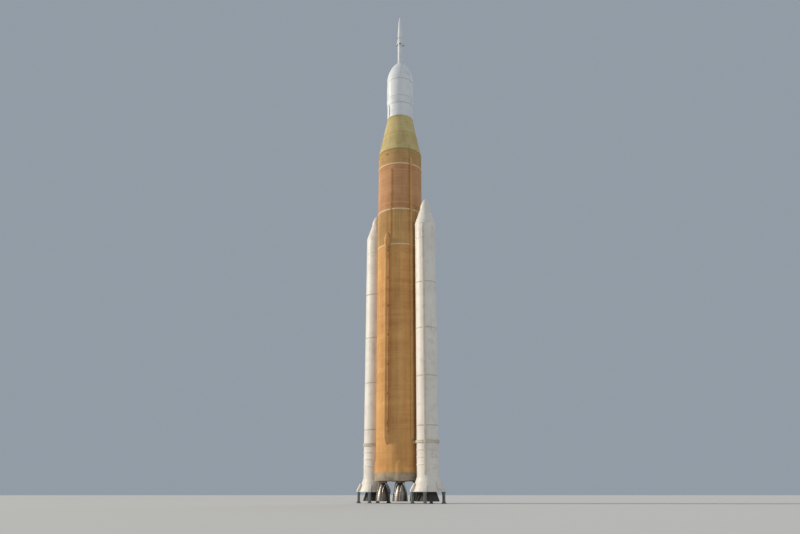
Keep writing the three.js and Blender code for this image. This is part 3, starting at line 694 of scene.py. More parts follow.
post_paint = weathered("post_paint", "post_paint", rgb(126, 130, 132), rgb(70, 62, 54), 0.7, 0.6, 0.55)
shield_paint = weathered("base_insulation", "base_shield", rgb(176, 160, 138), rgb(90, 78, 66),
                         0.4, 0.8, 0.85, 0.0012)
bell_metal = metal("bell_metal", "nozzle_metal", rgb(158, 150, 142), rgb(98, 88, 80), 0.36, 9,
                   (1, 1, 0.35))
pump_metal = metal("pump_metal", "nozzle_metal", rgb(182, 180, 176), rgb(118, 114, 110), 0.34, 22)
bearing_metal = metal("bearing_metal", "bearing_steel", rgb(170, 171, 174), rgb(120, 120, 124), 0.28, 30)
nozzle_liner = weathered("booster_nozzle_liner", "booster_nozzle", rgb(70, 67, 64), rgb(122, 116, 108),
                         0.6, 0.5, 0.75, 0.0008)


# Core stage: a form function with foot and top makes the form between those heights

CORE_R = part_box("core_hydrogen_tank")[1].x
FLANGE_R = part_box("core_intertank")[1].x
UPPER_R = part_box("upper_stage")[1].x - 0.05 * M
RIBS = 96
RIB_FADE = 0.012  # the height over which a rib rises at either end
PLAIN_SINE = 0.2  # sine of the angle between the boosters' line and a plain panel's side
ROUND = 160  # flats round a large wall
FOAM_WAVE = 0.0003


def foam_waves(a, z):
    """The unevenness of sprayed foam, running on from piece to piece: three crossing sine waves."""
    return FOAM_WAVE * (np.sin(7 * a + 11 * z) + np.sin(13 * a - 19 * z) + np.sin(23 * a + 37 * z))


def tank(foot, top):
    """A foam-covered tank, with a low band over the weld at each barrel's end."""
    outline = barrel(CORE_R, foot, top, [(z, 0.009, 0.0016) for z in tank_welds(foot, top)])
    return turned(finer(outline, 0.04), ROUND, foam_waves)


def intertank(foot, top):
    """Upright ribs between two flanges with bolt heads round them. The ribs are -3 + 7 clip(1/2 + 1.7
    cos(count a)) mm, faded out at both ends; towards the boosters a thick plain panel takes their
    place."""
    flange = foot + FLANGE_HIGH
    rib_foot, rib_top = flange + 0.002, top - FLANGE_HIGH - 0.002

    def ribs(a, z):
        wave = np.clip(0.5 + 1.7 * np.cos(RIBS * a), 0, 1)
        fade = np.clip((z - rib_foot) / RIB_FADE, 0, 1) * np.clip((rib_top - z) / RIB_FADE, 0, 1)
        panel = np.clip((PLAIN_SINE - np.abs(np.sin(a))) / 0.01, 0, 1)
        return fade * ((-0.003 + 0.007 * wave) * (1 - panel) + 0.0024 * panel)

    low = barrel(FLANGE_R, foot, flange) + [(CORE_R, flange + 0.001), (CORE_R, flange + 0.014)]
    wall = turned(finer(mirrored(low, foot + top), 0.06), RIBS * 8, ribs)
    return joined(wall, *[bolts_round(RIBS, FLANGE_R - 0.0003, z)
                          for z in (foot + FLANGE_HIGH / 2, top - FLANGE_HIGH / 2)])


def forward_skirt(foot, top):
    """A wall over a flange, with six doors."""
    flange = foot + FLANGE_HIGH
    outline = barrel(FLANGE_R, foot, flange) + [(CORE_R, flange + 0.001)]
    outline += barrel(CORE_R, foot, top, [(top - 0.05, 0.006, 0.0016)])[2:]
    doors = ((26, 82, 146, 206, 256, 324), CORE_R, 0.072, foot + 0.11, foot + 0.2, 0.005)
    return covered_wall(outline, [doors], 0.05, ROUND, waves=foam_waves)


# Small pieces on the core's wall

UMBILICAL_ANGLE = 120


def umbilical(radius, z, out, wide, high, columns, rows, plug):
    """An umbilical plate made on +X, as a housing on the wall and the metal on it: an inset plate and
    stepped round plugs of radius plug, in columns and rows, that reach as far out as out."""
    housing = block((0.55 * out + 0.012, wide, high), 0.003, (radius + 0.275 * out - 0.006, 0, z))
    plate = block((0.2 * out + 0.004, 0.8 * wide, 0.8 * high), 0.0015, (radius + 0.6 * out - 0.002, 0, z))
    stub = turned(eased([(plug, -0.003), (plug, 0.12 * out), (0.62 * plug, 0.16 * out),
                         (0.62 * plug, 0.3 * out)], 0.002), 24)
    across, up = [(np.arange(count) - (count - 1) / 2) * 0.78 * size / count
                  for count, size in ((columns, wide), (rows, high))]
    stubs = placed(stub, *[matrix(0, (radius + 0.7 * out, y, z + h), 90) for y in across for h in up])
    return housing, joined(plate, stubs)


def add_umbilicals():
    """The umbilical plates, one above the other at the back left."""
    plates = [
        # radius, height, out, wide, high, columns, rows, plug radius
        (CORE_R, span_of("core_boat_tail")[1] + 0.33, 0.014, 0.13, 0.11, 3, 2, 0.012),
        (CORE_R + 0.004, intertank_foot + 0.34, 0.016, 0.1, 0.13, 2, 3, 0.012),
        (CORE_R, skirt_foot + 0.15, 0.021, 0.12, 0.16, 2, 3, 0.014),
        (UPPER_R, span_of("upper_stage")[0] + 0.17, 0.014, 0.09, 0.08, 2, 2, 0.011),
    ]
    housings, plugs = zip(*[umbilical(*row) for row in plates])
    for name, forms, finish in (("core_umbilical_housings", housings[:3], line_foam),
                                ("upper_umbilical_housing", housings[3:], craft_paint),
                                ("umbilical_plugs", plugs, (pump_metal[0], "bearing_steel"))):
        add_piece(name, placed(joined(*forms), matrix(UMBILICAL_ANGLE)), finish)


def add_core_fittings():
    """Round vent mouths and bevelled camera pods."""
    vent = turned([(0.02, -0.01), (0.026, 0.0), (0.026, 0.004), (0.019, 0.008), (0.016, 0.008),
                   (0.014, -0.006)], 28)
    pod = block((0.02, 0.034, 0.026), 0.005, (0.004, 0, 0))
    places = [
        # form, angles, radius, height, tilt
        (vent, (95, 275), CORE_R + 0.001, skirt_foot + 0.24, 90),
        (vent, (35, 215), CORE_R + 0.004, intertank_foot + 0.52, 90),
        (pod, (-35, 55, 145, 235), CORE_R, skirt_foot + 0.26, 0),
        (pod, (-40, 40, 140, 220), CORE_R, intertank_foot - 0.1, 0),
    ]
    add_piece("core_fittings", joined(*[ring_of(*place) for place in places]), line_foam)


# Engine bay

ENGINE_SPOTS = {i: middle_of(f"engine_{i}_nozzle") for i in range(1, 5)}
ENGINE_REACH = math.sqrt(2) * ENGINE_SPOTS[3][0]  # an engine's distance from the core's axis
FAIRING_R = 1.5 * M
FAIRING_STRAIGHT = 1.0 * M
FAIRING_HIGH = 2.4 * M
FAIRING_TIP = 0.25 * M
WELL_R = 1.28 * M
TAPER = 0.55 * M
TAIL_INSET = 0.025  # how far the tapered wall stands back at its foot
ARC_STEPS = 64  # in a quarter of the boat tail's rim
SIDE_STEPS = 16  # in each straight side of that quarter


def ogive_radius(foot, tip, high, up):
    """The radius of an ogive at a height up above its foot: foot - bend + sqrt(bend^2 - up^2), where
    bend is the radius of the arc that runs from foot to tip over the height high."""
    bend = (high**2 + (foot - tip) ** 2) / (2 * (foot - tip))
    return foot - bend + np.sqrt(np.maximum(bend**2 - up**2, 0))


def ogive(foot, tip, z, high, count):
    """The rows of an ogive that starts at height z."""
    up = np.linspace(0, high, count)
    return np.stack([ogive_radius(foot, tip, high, up), z + up], -1)


def fairing_reach(angle, radius):
    """How far from the core's axis an engine fairing reaches: with d the engine's distance from that
    axis and b the angle from the engine, d cos b + sqrt(radius^2 - d^2 sin^2 b)."""
    b = angle % (TURN / 4) - TURN / 8
    inside = radius**2 - (ENGINE_REACH * np.sin(b)) ** 2
    return np.where(inside > 0, ENGINE_REACH * np.cos(b) + np.sqrt(np.maximum(inside, 0)), 0)


def greater(a, b, soft=0.004):
    """The greater of two, its crossing rounded: half of a + b + sqrt((a - b)^2 + soft^2)."""
    return 0.5 * (a + b + np.sqrt((a - b) ** 2 + soft**2))


def engine_section(pad_foot, top):
    """The drum over the engines, with a rounded fairing above each of them, and the pads that hold
    their bearings. The wall's radius is the greater of the drum's and the fairings' reach."""
    foot = span_of("core_boat_tail")[1]

    def swell(a, z):
        up = np.clip(z - foot - FAIRING_STRAIGHT, 0, FAIRING_HIGH)
        reach = fairing_reach(a, ogive_radius(FAIRING_R, FAIRING_TIP, FAIRING_HIGH, up))
        return greater(CORE_R, reach) - CORE_R + foam_waves(a, z)

    bands = [(foot + 0.012, 0.012, 0.002), (foot + 0.36, 0.006, 0.0016), (top - 0.02, 0.018, 0.0025)]
    pad = turned(eased([(0.03, 0), (0.035, 0.006), (0.035, foot - pad_foot + 0.01)], 0.003), 32)
    return joined(turned(finer(barrel(CORE_R, foot, top, bands), 0.015), 320, swell),
                  *[moved(pad, x, y, pad_foot) for x, y in ENGINE_SPOTS.values()])


def between_lines(a, b, steps):
    """An open sheet ruled from line a to line b: a + (b - a) t."""
    t = np.linspace(0, 1, steps + 1)[:, None, None]
    i, j = np.indices((steps, len(a) - 1))
    first = (i * len(a) + j).ravel()
    return ((a * (1 - t) + b * t).reshape(-1, 3),
            [np.stack([first, first + 1, first + len(a) + 1, first + len(a)], -1)])


def boat_tail(foot, top):
    """The core's foot: a tapered wall, and a plate with a round well for each engine. Each quarter of
    the plate is ruled from the well's rim to the quarter's own edge."""
    levels = [(foot, TAIL_INSET + 0.004), (foot + 0.004, TAIL_INSET), (foot + TAPER, 0), (top - 0.03, 0),
              (top - 0.0015, 0), (top, 0.0015)]
    spread = np.linspace(0, 1, SIDE_STEPS + 1)[:, None]
    sheets = []
    for turn in np.arange(4) * TURN / 4:
        arc = np.linspace(0, TURN / 4, ARC_STEPS + 1) + turn
        spot = ENGINE_REACH * np.array([math.cos(turn + TURN / 8), math.sin(turn + TURN / 8)])
        rings = []
        for z, inset in levels:
            r = greater(CORE_R - inset, fairing_reach(arc, FAIRING_R - 0.3 * inset))
            rings.append(np.stack([r * np.cos(arc), r * np.sin(arc), np.full_like(arc, z)], -1))
        sheets += [between_lines(a, b, 1) for a, b in zip(rings[:-1], rings[1:])]
        rims = []
        for ring in (rings[0], rings[-1]):
            corner = ring[0] * (0, 0, 1)
            edge = np.concatenate([corner + (ring[0] - corner) * spread[:-1], ring,
                                   ring[-1] + (corner - ring[-1]) * spread[1:]])
            away = edge[:, :2] - spot
            away /= np.linalg.norm(away, axis=1)[:, None]
            rims.append(np.concatenate([spot + WELL_R * away, edge[:, 2:]], 1))
            sheets.append(between_lines(rims[-1], edge, 6))
        sheets.append(between_lines(*rims, 3))
    lip = turned(rows_from(WELL_R, foot, [(-0.002, 0.004), (-0.002, -0.003), (0.002, -0.006),
                                          (0.012, -0.003), (0.012, 0.004)]), 72, ends="ring")
    return joined(*sheets, *[moved(lip, x, y) for x, y in ENGINE_SPOTS.values()])


# Lines and tunnels along the core

PIPE_R = 0.28 * M
PIPE_OUT = 4.64 * M
BRACKETS = 7
FEEDLINE_ANGLE = 10  # from the front towards the right booster, in degrees
SIDE_REACH = 5.03 * M  # how far the upper fairing stands from the core's axis
LINE_X = 0.062  # how far the pressure line stands beside the feedline
TUNNEL_ANGLE = -18
PANEL_GROOVE = 0.0015  # depth of the groove between a tunnel's cover panels
SUNK = 0.012  # how far inside the wall a fairing or tunnel starts


def teardrop(foot, top, widest, half_width, reach, sides=40, rows=36):
    """A smooth fairing on the wall at -Y. Each level section is an ellipse cut flat at the back, about
    a seat inside the wall: half_width s to each side and (reach - seat) s outwards, where s rises as a
    power of a sine from the foot to the widest level and falls as a power of a cosine to the top."""
    z = np.linspace(foot, top, rows)
    low = np.sin(0.25 * TURN * np.clip((z - foot) / (widest - foot), 0, 1)) ** 0.75
    high = np.cos(0.25 * TURN * np.clip((z - widest) / (top - widest), 0, 1)) ** 0.7
    s = np.maximum(low * high, 0.02)[:, None]
    a = np.arange(sides) * TURN / sides
    x = half_width * s * np.cos(a)
    y = -(CORE_R - SUNK) - (reach - CORE_R + SUNK) * s * np.sin(a).clip(-0.25, 1)
    return lofted(np.stack([x, y, np.broadcast_to(z[:, None], x.shape)], -1))


def feedline(low, high):
    """A foam-covered pipe on brackets, made on the -Y side, its ends curving into the wall under
    fairings, with a bellows near each fairing and a thin pressure line beside it."""
    foot, top = span_of("core_hydrogen_tank")
    line_top = span_of("core_oxygen_tank")[1]
    ends = curve([(0, -CORE_R + 0.03, foot - 0.15), (0, -PIPE_OUT + 0.012, foot - 0.08),
                  (0, -PIPE_OUT, foot), (0, -PIPE_OUT, foot + 0.1)], 6)
    rise = [(0, -PIPE_OUT, z) for z in np.arange(foot + 0.2, top - 0.05, 0.1)]
    head = curve([(0, -PIPE_OUT, top - 0.02), (0, -PIPE_OUT + 0.004, top + 0.05),
                  (0, -CORE_R + 0.02, top + 0.14)], 6)
    waves = [(0, -0.035), (0.003, -0.034)]
    for k in range(6):
        waves += [(0.004, -0.03 + 0.01 * k), (0.001, -0.025 + 0.01 * k)]
    bellows = turned(rows_from(PIPE_R, 0, waves + [(0.003, 0.034), (0, 0.035)]), 32)
    bracket = joined(block((0.09, 0.03, 0.05), 0.004, (0, -CORE_R + 0.011, 0)),
                     block((0.056, 0.034, 0.014), 0.002, (0, -PIPE_OUT + 0.03, 0)),
                     moved(turned(bands_on(PIPE_R, [(0, 0.008, 0.003)]), 32), 0, -PIPE_OUT))
    clip = block((0.024, 0.02, 0.012), 0.002)
    line = [(LINE_X, -CORE_R - 0.008, z) for z in np.arange(foot - 0.05, line_top, 0.1)]
    return joined(
        tube(np.concatenate([ends, rise, head]), PIPE_R, 24, side=(1, 0, 0)),
        *[moved(bellows, 0, -PIPE_OUT, z) for z in (foot + 0.18, top - 0.22)],
        *[moved(bracket, z=z) for z in np.linspace(foot + 1.3 * M, top - 1.0 * M, BRACKETS)],
        tube(line, 0.0055, 10, side=(1, 0, 0)),
        *[moved(clip, LINE_X, -(FLANGE_R if top < z < intertank_top else CORE_R) - 0.004, z)
          for z in np.arange(foot + 0.1, line_top - 0.1, 0.24)],
        teardrop(top - 0.07, high, top + 0.07, 0.062, SIDE_REACH),
        teardrop(low, foot + 0.03, foot - 0.07, 0.055, 0.489))


def tunnel_form(seat, outer, half_width, foot, top, slope, panel):
    """A cable tunnel on +X from foot to top: a trapezoid section whose reach falls to the seat at both
    ends, with a shallow groove between cover panels."""
    seams = np.arange(foot + slope + panel, top - slope, panel)
    edges = np.add.outer((-0.003, -0.002, 0.002, 0.003), seams).ravel()
    z = np.linspace(foot, top, int((top - foot) / panel) * 2 + 1)
    z = apart(np.union1d(np.union1d(z, edges), [foot + slope, top - slope]))
    ramp = np.clip(np.minimum(z - foot, top - z) / slope, 0, 1)
    groove = np.isclose(np.abs(z[:, None] - seams).min(1), 0.002, atol=2e-4) * PANEL_GROOVE
    reach = seat + 0.003 + (outer - seat - 0.003) * ramp - groove
    shoulder = reach - 0.3 * (reach - seat)
    inner = np.full_like(z, seat - SUNK)
    half = [(inner, -1.0), (shoulder, -1.0), (reach, -0.72)]
    return lofted(np.stack([np.stack([x, y * (half_width - groove), z], -1)
                            for x, y in mirrored(half, 0)], 1))


def core_tunnel(foot, top):
    """The core's long cable tunnel, made on +X."""
    return tunnel_form(CORE_R, 4.5 * M, 0.25 * M, foot, top, 0.6 * M, 0.24)


# Main engines

# rows of radius and height up the outside of the bell
BELL = np.array([(1.2, 0), (1.155, 0.4), (1.1, 0.8), (1.025, 1.16), (0.93, 1.5), (0.82, 1.84),
                 (0.7, 2.15), (0.56, 2.48), (0.42, 2.75), (0.32, 2.92), (0.3, 3.02)]) * M
BELL_WALL = 0.004
LIP_R, LIP_PIPE = 0.1185, 0.0055  # the manifold at the bell's lip, and its pipe's own radius
TUBES = 72
SCALLOP = 0.0007
HAT_BANDS = (0.039, 0.075, 0.111, 0.147, 0.18, 0.21, 0.24, 0.264)  # heights
PIPES = [
    # radius, side that the path never runs along, points
    (0.011, (0, 1, 0.3), [(0.06, 0, 0.372), (0.056, 0.016, 0.388), (0.03, 0.02, 0.386), (0, 0.02, 0.38)]),
    (0.005, (1, 0, 0), [(0.066, -0.02, 0.31), (0.075, -0.034, 0.27), (0.06, -0.062, 0.2),
                        (0.066, -0.082, 0.12), (0.068, -0.096, 0.03), (0.066, -0.098, 0.01)]),
    (0.004, (1, 0, 0), [(0.05, 0.03, 0.31), (0.05, 0.05, 0.25), (0.064, 0.07, 0.17),
                        (0.068, 0.088, 0.09), (0.066, 0.097, 0.012)]),
]


def bell_form():
    """A bell of fine upright tubes: its section runs up the outside and down the inside, and each wall
    is scalloped by |cos(tubes a / 2)|. Hat bands and the manifold at the lip go round it."""
    outside = curve(BELL, 3)

    def scallops(a, z):
        return SCALLOP * np.abs(np.cos(TUBES * a / 2)) * np.clip(z / 0.01, 0, 1)

    section = np.concatenate([outside, outside[::-1] - (BELL_WALL, 0)])
    a = np.arange(10) * TURN / 10
    lip = np.stack([LIP_R + LIP_PIPE * np.cos(a), 0.008 + LIP_PIPE * np.sin(a)], -1)
    return joined(turned(section, TUBES * 3, scallops, ends="ring"),
                  hoops_on(outside, HAT_BANDS, 0.003, 0.003, 64), turned(lip, 72, ends="ring"))


def powerhead_form(tall):
    """Above the bell: the chamber and the block that the bearing holds, a pump at each side with its hot
    gas duct, the drain pipes down the bell, and the controller boxes."""
    throat = [(0.026, 0.296), (0.033, 0.3), (0.036, 0.306), (0.036, 0.314), (0.031, 0.318),
              (0.031, 0.326), (0.045, 0.338), (0.049, 0.345), (0.049, 0.352), (0.044, 0.356),
              (0.046, 0.372), (0.05, 0.376), (0.05, tall - 0.006), (0.036, tall - 0.001), (0.02, tall)]
    pump = [(0.012, 0.29), (0.022, 0.294), (0.027, 0.304), (0.027, 0.316), (0.023, 0.319), (0.023, 0.334),
            (0.0275, 0.338), (0.0275, 0.352), (0.022, 0.356), (0.022, 0.37), (0.017, 0.38),
            (0.008, 0.385)]
    parts = [turned(eased(throat, 0.002, 2), 48)]
    for side in (-1, 1):
        parts.append(moved(turned(eased(pump, 0.002, 2), 32), side * 0.06))
        parts += [tube(curve(np.array(points) * (side, 1, 1), 6), radius, 12, square)
                  for radius, square, points in PIPES]
    unit = block((0.016, 0.022, 0.03), 0.003, (0.056, 0, 0.362))
    return joined(*parts, ring_of(unit, (20, 100, 160, 200, 280, 340), 0))


def ball_form(foot, top):
    """A ball of stacked rings: a circle's profile with every fourth row drawn in."""
    radius = (top - foot) / 2
    a = np.linspace(-0.24, 0.24, 33) * TURN
    rows = radius * np.stack([np.cos(a), np.sin(a)], -1)
    rows[2::4, 0] -= 0.03 * radius
    return moved(turned(rows, 48), z=(foot + top) / 2)


def add_engines():
    """On each engine's own body its bell and its powerhead, and on the bearing's body the ball."""
    foot, top = span_of("engine_1_nozzle")
    bell, powerhead = bell_form(), powerhead_form(top - foot)
    ball = ball_form(*span_of("engine_1_gimbal_bearing"))
    for i, (x, y) in ENGINE_SPOTS.items():
        name = f"engine_{i}"
        add_piece(name + "_bell", moved(bell, x, y, foot), bell_metal, name + "_nozzle", name, 40)
        add_piece(name + "_powerhead", moved(powerhead, x, y, foot), pump_metal, None, name, 40)
        add_piece(name + "_bearing_ball", moved(ball, x, y), bearing_metal, name + "_gimbal_bearing",
                  name + "_bearing")


# Boosters, each made about its own axis with its outboard side on +X

BOOSTER_X = middle_of("booster_right_motor_case")[0]
BOOSTER_R = 1.855 * M
JOINT_OUT = 0.045 * M
BOOSTER_SIDES = (("right", matrix(0, (BOOSTER_X, 0, 0))), ("left", matrix(180, (-BOOSTER_X, 0, 0))))
BOOSTER_TUNNEL_ANGLE = -62
BOOSTER_ROUND = 128
SEGMENTS = 5
STIFFENERS = (0.62, 0.74, 0.86)  # heights of the rings on the lowest segment
PINS = 90
CONE_TOP_R = 0.87 * M
CONE_HIGH = 3.05 * M
CAP_HIGH = 1.75 * M
PORT_UP = 0.235  # from the nose cone's foot to its motor ports
ATTACH_RING_R = 2.04 * M
SKIRT_BASE_R = 2.69 * M
SKIRT_TOP_R = 1.93 * M
SKIRT_WALL = 0.12 * M
POST_ANGLES = (60, 120, 240, 300)
POST_R = 2.75 * M


def segment_ends():
    """The heights where a booster's segments start and end, in even steps."""
    return np.linspace(span_of("booster_right_aft_skirt")[1], span_of("booster_right_motor_case")[1],
                       SEGMENTS + 1)


def motor_case(foot, top):
    """Five segments with a thin factory joint in the middle of each, three stiffener rings on the
    lowest and the closure at the foot."""
    ends = segment_ends()
    bands = [(z, 0.004, 0.0014) for z in (ends[1:] + ends[:-1]) / 2]
    outline = [(0.1, foot), (0.16, ends[0])] + barrel(BOOSTER_R, ends[0], top, bands)
    return joined(turned(finer(outline, 0.08), BOOSTER_ROUND),
                  *[hoop(BOOSTER_R, z, 0.0085, 0.007, BOOSTER_ROUND) for z in STIFFENERS])


def field_joints(*_):
    """The joints between segments: a raised band with a rib and a row of pin heads round its middle."""
    half = 0.11 * M
    forms = []
    for z in segment_ends()[1:-1]:
        rows = rows_from(BOOSTER_R, z, [(-0.001, -half), (0.002, 0.002 - half), (0.0022, -0.003),
                                        (JOINT_OUT, -0.002), (JOINT_OUT, 0.005), (0.0022, 0.006),
                                        (0.002, half - 0.002), (-0.001, half)])
        forms += [turned(rows, BOOSTER_ROUND, ends="ring"),
                  bolts_round(PINS, BOOSTER_R + 0.0018, z - 0.006, 0.0018, 0.0014, 6)]
    return joined(*forms)


def booster_skirt(foot, top):
    """A wall with two raised rings and a low one, doors at the front, back and outboard sides, and a
    plain pad under the thrust fitting."""
    rows = barrel(BOOSTER_R, foot, top, [(foot + 0.015, 0.0105, 0.0042), (top - 0.025, 0.0105, 0.0042),
                                         (foot + 0.16, 0.003, 0.001)])
    doors = [((90, 270), BOOSTER_R, 0.07, foot + 0.05, foot + 0.13, 0.003),
             ((0,), BOOSTER_R, 0.05, foot + 0.19, foot + 0.25, 0.003)]
    pad = (180, 18, foot + 0.03, foot + 0.27, 0.0014)
    return covered_wall(rows, doors, 0.05, BOOSTER_ROUND, [pad])


def nose_cone(foot, top):
    """A frustum with four motor ports on its inboard side, and an ogive cap with a blunt tip."""
    cone_top = foot + CONE_HIGH
    lean = (BOOSTER_R - CONE_TOP_R) / CONE_HIGH
    rows = [(BOOSTER_R - 0.001, foot), (BOOSTER_R, foot + 0.001)]
    for z, half, lift in ((foot + 0.03, 0.005, 0.0014), (foot + 0.16, 0.003, 0.001),
                          (cone_top - 0.012, 0.006, 0.0016)):
        rows += bands_on(BOOSTER_R - lean * (z - foot), [(z, half, lift)])
    tip = [(0.0135, top - 0.006), (0.0075, top - 0.0015), (0.002, top)]
    rows = np.concatenate([rows, ogive(CONE_TOP_R, 0.2 * M, cone_top, CAP_HIGH, 22), tip])
    port = turned([(0.0155, -0.012), (0.0155, 0.005), (0.0135, 0.006), (0.0125, 0.004), (0.009, -0.006)],
                  28)
    return joined(turned(finer(rows, 0.05), BOOSTER_ROUND),
                  ring_of(port, (158, 172.5, 187.5, 202), BOOSTER_R - lean * PORT_UP, foot + PORT_UP,
                          90 - math.degrees(math.atan(lean))))


def booster_tunnel(foot, top):
    """A booster's cable tunnel, which covers the joint bands that it crosses."""
    tunnel = tunnel_form(BOOSTER_R, BOOSTER_R + JOINT_OUT + 0.0133, 0.16 * M, foot, top, 0.4 * M, 0.18)
    return placed(tunnel, matrix(BOOSTER_TUNNEL_ANGLE))


def attach_ring(foot, top):
    """A box ring round the aft segment; two short struts with clevis ends reach the core's wall."""
    outer, middle = ATTACH_RING_R, (foot + top) / 2
    rows = [(BOOSTER_R - 0.002, foot), *rows_from(outer, foot, [(-0.001, 0), (0, 0.001), (0, 0.006),
                                                                (-0.004, 0.008)])]
    gusset = slab([(BOOSTER_R, 0.006), (outer - 0.001, 0.006), (outer - 0.001, 0.039),
                   (BOOSTER_R, 0.039)], 0.004, 0.0008)
    parts = [turned(mirrored(rows, foot + top), BOOSTER_ROUND, ends="ring"),
             ring_of(gusset, np.arange(24) * 15.0, 0, foot)]
    for y in (-0.095, 0.095):
        wall = -BOOSTER_X + math.sqrt(CORE_R**2 - y**2)
        shell = -math.sqrt(outer**2 - y**2)
        parts += [block((0.026, 0.03, 0.037), 0.003, (shell - 0.001, y, middle)),
                  block((0.014, 0.044, 0.044), 0.003, (wall + 0.0075, y, middle)),
                  tube([(wall + 0.004, y, middle), (shell + 0.01, y, middle)], 0.013, 16)]
    return joined(*parts)


def thrust_beam(foot, top):
    """A beam that tapers from the core's wall to the booster's, with a round pin head at each side."""
    wall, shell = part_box("booster_right_thrust_fitting")[0].x - BOOSTER_X, -BOOSTER_R
    half = (top - foot) / 2
    lower = [(wall + 0.001, -half), (shell - 0.0005, -half * 0.75), (shell + 0.006, -half * 0.75)]
    pin = turned(eased([(0.012, -0.012), (0.018, -0.006), (0.018, 0.006), (0.012, 0.012)], 0.004), 28)
    pins = placed(pin, *[matrix(0, ((wall + shell) / 2, y, 0), tilt_x=90) for y in (-0.026, 0.026)])
    return moved(joined(slab(mirrored(lower, 0), 0.05, 0.003), pins), z=(foot + top) / 2)


def aft_skirt(foot, top):
    """A flared shell, open below, with ring frames outside and in, four hold-down feet and two pods of
    separation motors."""
    slope_foot, slope_top = foot + 0.015, top - 0.02
    rise = slope_top - slope_foot

    def frames(base, end, rings):
        """Rows of a leaning wall with a raised ring at each share of its height."""
        bands = [(slope_foot + share * rise, half, lift) for share, half, lift in rings]
        return bands_on(base, bands, (base - end) / rise, slope_foot)

    base = SKIRT_BASE_R - 0.05 * M
    inner_top, inner_base = SKIRT_TOP_R - SKIRT_WALL, SKIRT_BASE_R - SKIRT_WALL
    rows = [
        *rows_from(SKIRT_BASE_R + 0.06 * M, foot, [(-0.001, 0), (0, 0.001), (0, 0.013), (-0.002, 0.015)]),
        (base + 0.001, slope_foot),
        *frames(base, SKIRT_TOP_R, [(0.22, 0.003, 0.0022), (0.46, 0.003, 0.0022), (0.7, 0.003, 0.0022),
                                    (0.9, 0.005, 0.0028)]),
        (SKIRT_TOP_R, slope_top), (SKIRT_TOP_R, top - 0.001), (SKIRT_TOP_R - 0.001, top),
        (inner_top, top), (inner_top, slope_top),
        *frames(inner_base, inner_top, [(share, 0.003, -0.006) for share in (0.25, 0.5, 0.75)])[::-1],
        (inner_base, slope_foot), (inner_base, foot)]
    toe = slab([(0.262, 0), (0.305, 0), (0.305, 0.035), (0.292, 0.06), (0.262, 0.115), (0.252, 0.14),
                (0.238, 0.14), (0.238, 0.03)], 0.058, 0.003)
    rib = slab([(0.25, 0.034), (0.297, 0.034), (0.294, 0.05), (0.25, 0.12)], 0.006, 0.001)
    nut = moved(dome_head(0.011, 0.012, 6), 0.29, 0, 0.05)
    feet = joined(toe, nut, *[moved(rib, 0, y, 0.001) for y in (-0.031, 0.031)])
    pod = slab([(0.247, 0.05), (0.264, 0.05), (0.264, 0.066), (0.234, 0.15), (0.21, 0.15)], 0.11, 0.003)
    motor = turned([(0.011, -0.022), (0.0085, -0.004), (0.0085, 0.01), (0.006, 0.01), (0.006, -0.006),
                    (0.0092, -0.022)], 20, ends="ring")
    motors = placed(motor, *[matrix(0, (0.252, y, 0.052), -25) for y in (-0.039, -0.013, 0.013, 0.039)])
    return joined(turned(finer(rows, 0.03), 144, ends="ring"), ring_of(feet, POST_ANGLES, 0, foot),
                  ring_of(joined(pod, motors), (0, 180), 0, foot))


def booster_nozzle(foot, top):
    """A thick wall of wrapped rings, hollow to its throat. The section runs from the throat's floor
    down the inside, round the lip and up the outside."""
    outer = curve(np.array([(1.9, 0), (1.77, 0.4), (1.64, 0.8), (1.5, 1.2), (1.36, 1.6), (1.22, 1.98),
                            (1.1, 2.35), (1.03, 2.6), (1.0, 2.8)]) * M, 4)
    inner = outer[::-1] - (0.08 * M, 0)
    rows = np.concatenate([[(0.001, 0.27), (0.06, 0.27)], inner[2:], outer,
                           [(0.075, top - foot), (0.001, top - foot)]])
    hoops = hoops_on(outer, (0.04, 0.12, 0.2), 0.003, 0.005)
    return moved(joined(turned(finer(rows, 0.02)), hoops), z=foot)


def add_boosters():
    """Adds the same pieces to both boosters. Each stands for its part's node, but for the field
    joints, which have none."""
    rows = [
        # piece, part, form function, finish, body
        ("case", "motor_case", motor_case, booster_paint, None),
        ("field_joints", None, field_joints, joint_paint, None),
        ("forward_skirt_wall", "forward_skirt", booster_skirt, booster_paint, None),
        ("nose", "nose_cone", nose_cone, booster_paint, None),
        ("cable_tunnel", "systems_tunnel", booster_tunnel, joint_paint, None),
        ("attach_ring", "aft_attach_ring", attach_ring, joint_paint, None),
        ("thrust_beam", "thrust_fitting", thrust_beam, bearing_metal, None),
        ("skirt", "aft_skirt", aft_skirt, booster_paint, None),
        ("nozzle_bell", "nozzle", booster_nozzle, nozzle_liner, "nozzle"),
        ("bearing_rings", "flexible_bearing", ball_form, bearing_metal, "bearing"),
    ]
    for name, part, make, finish, body in rows:
        form = make(*span_of("booster_right_" + (part or "motor_case")))
        for side, spot in BOOSTER_SIDES:
            own = f"booster_{side}_"
            add_piece(own + name, placed(form, spot), finish, part and own + part,
                      own + body if body else CORE_BODY)


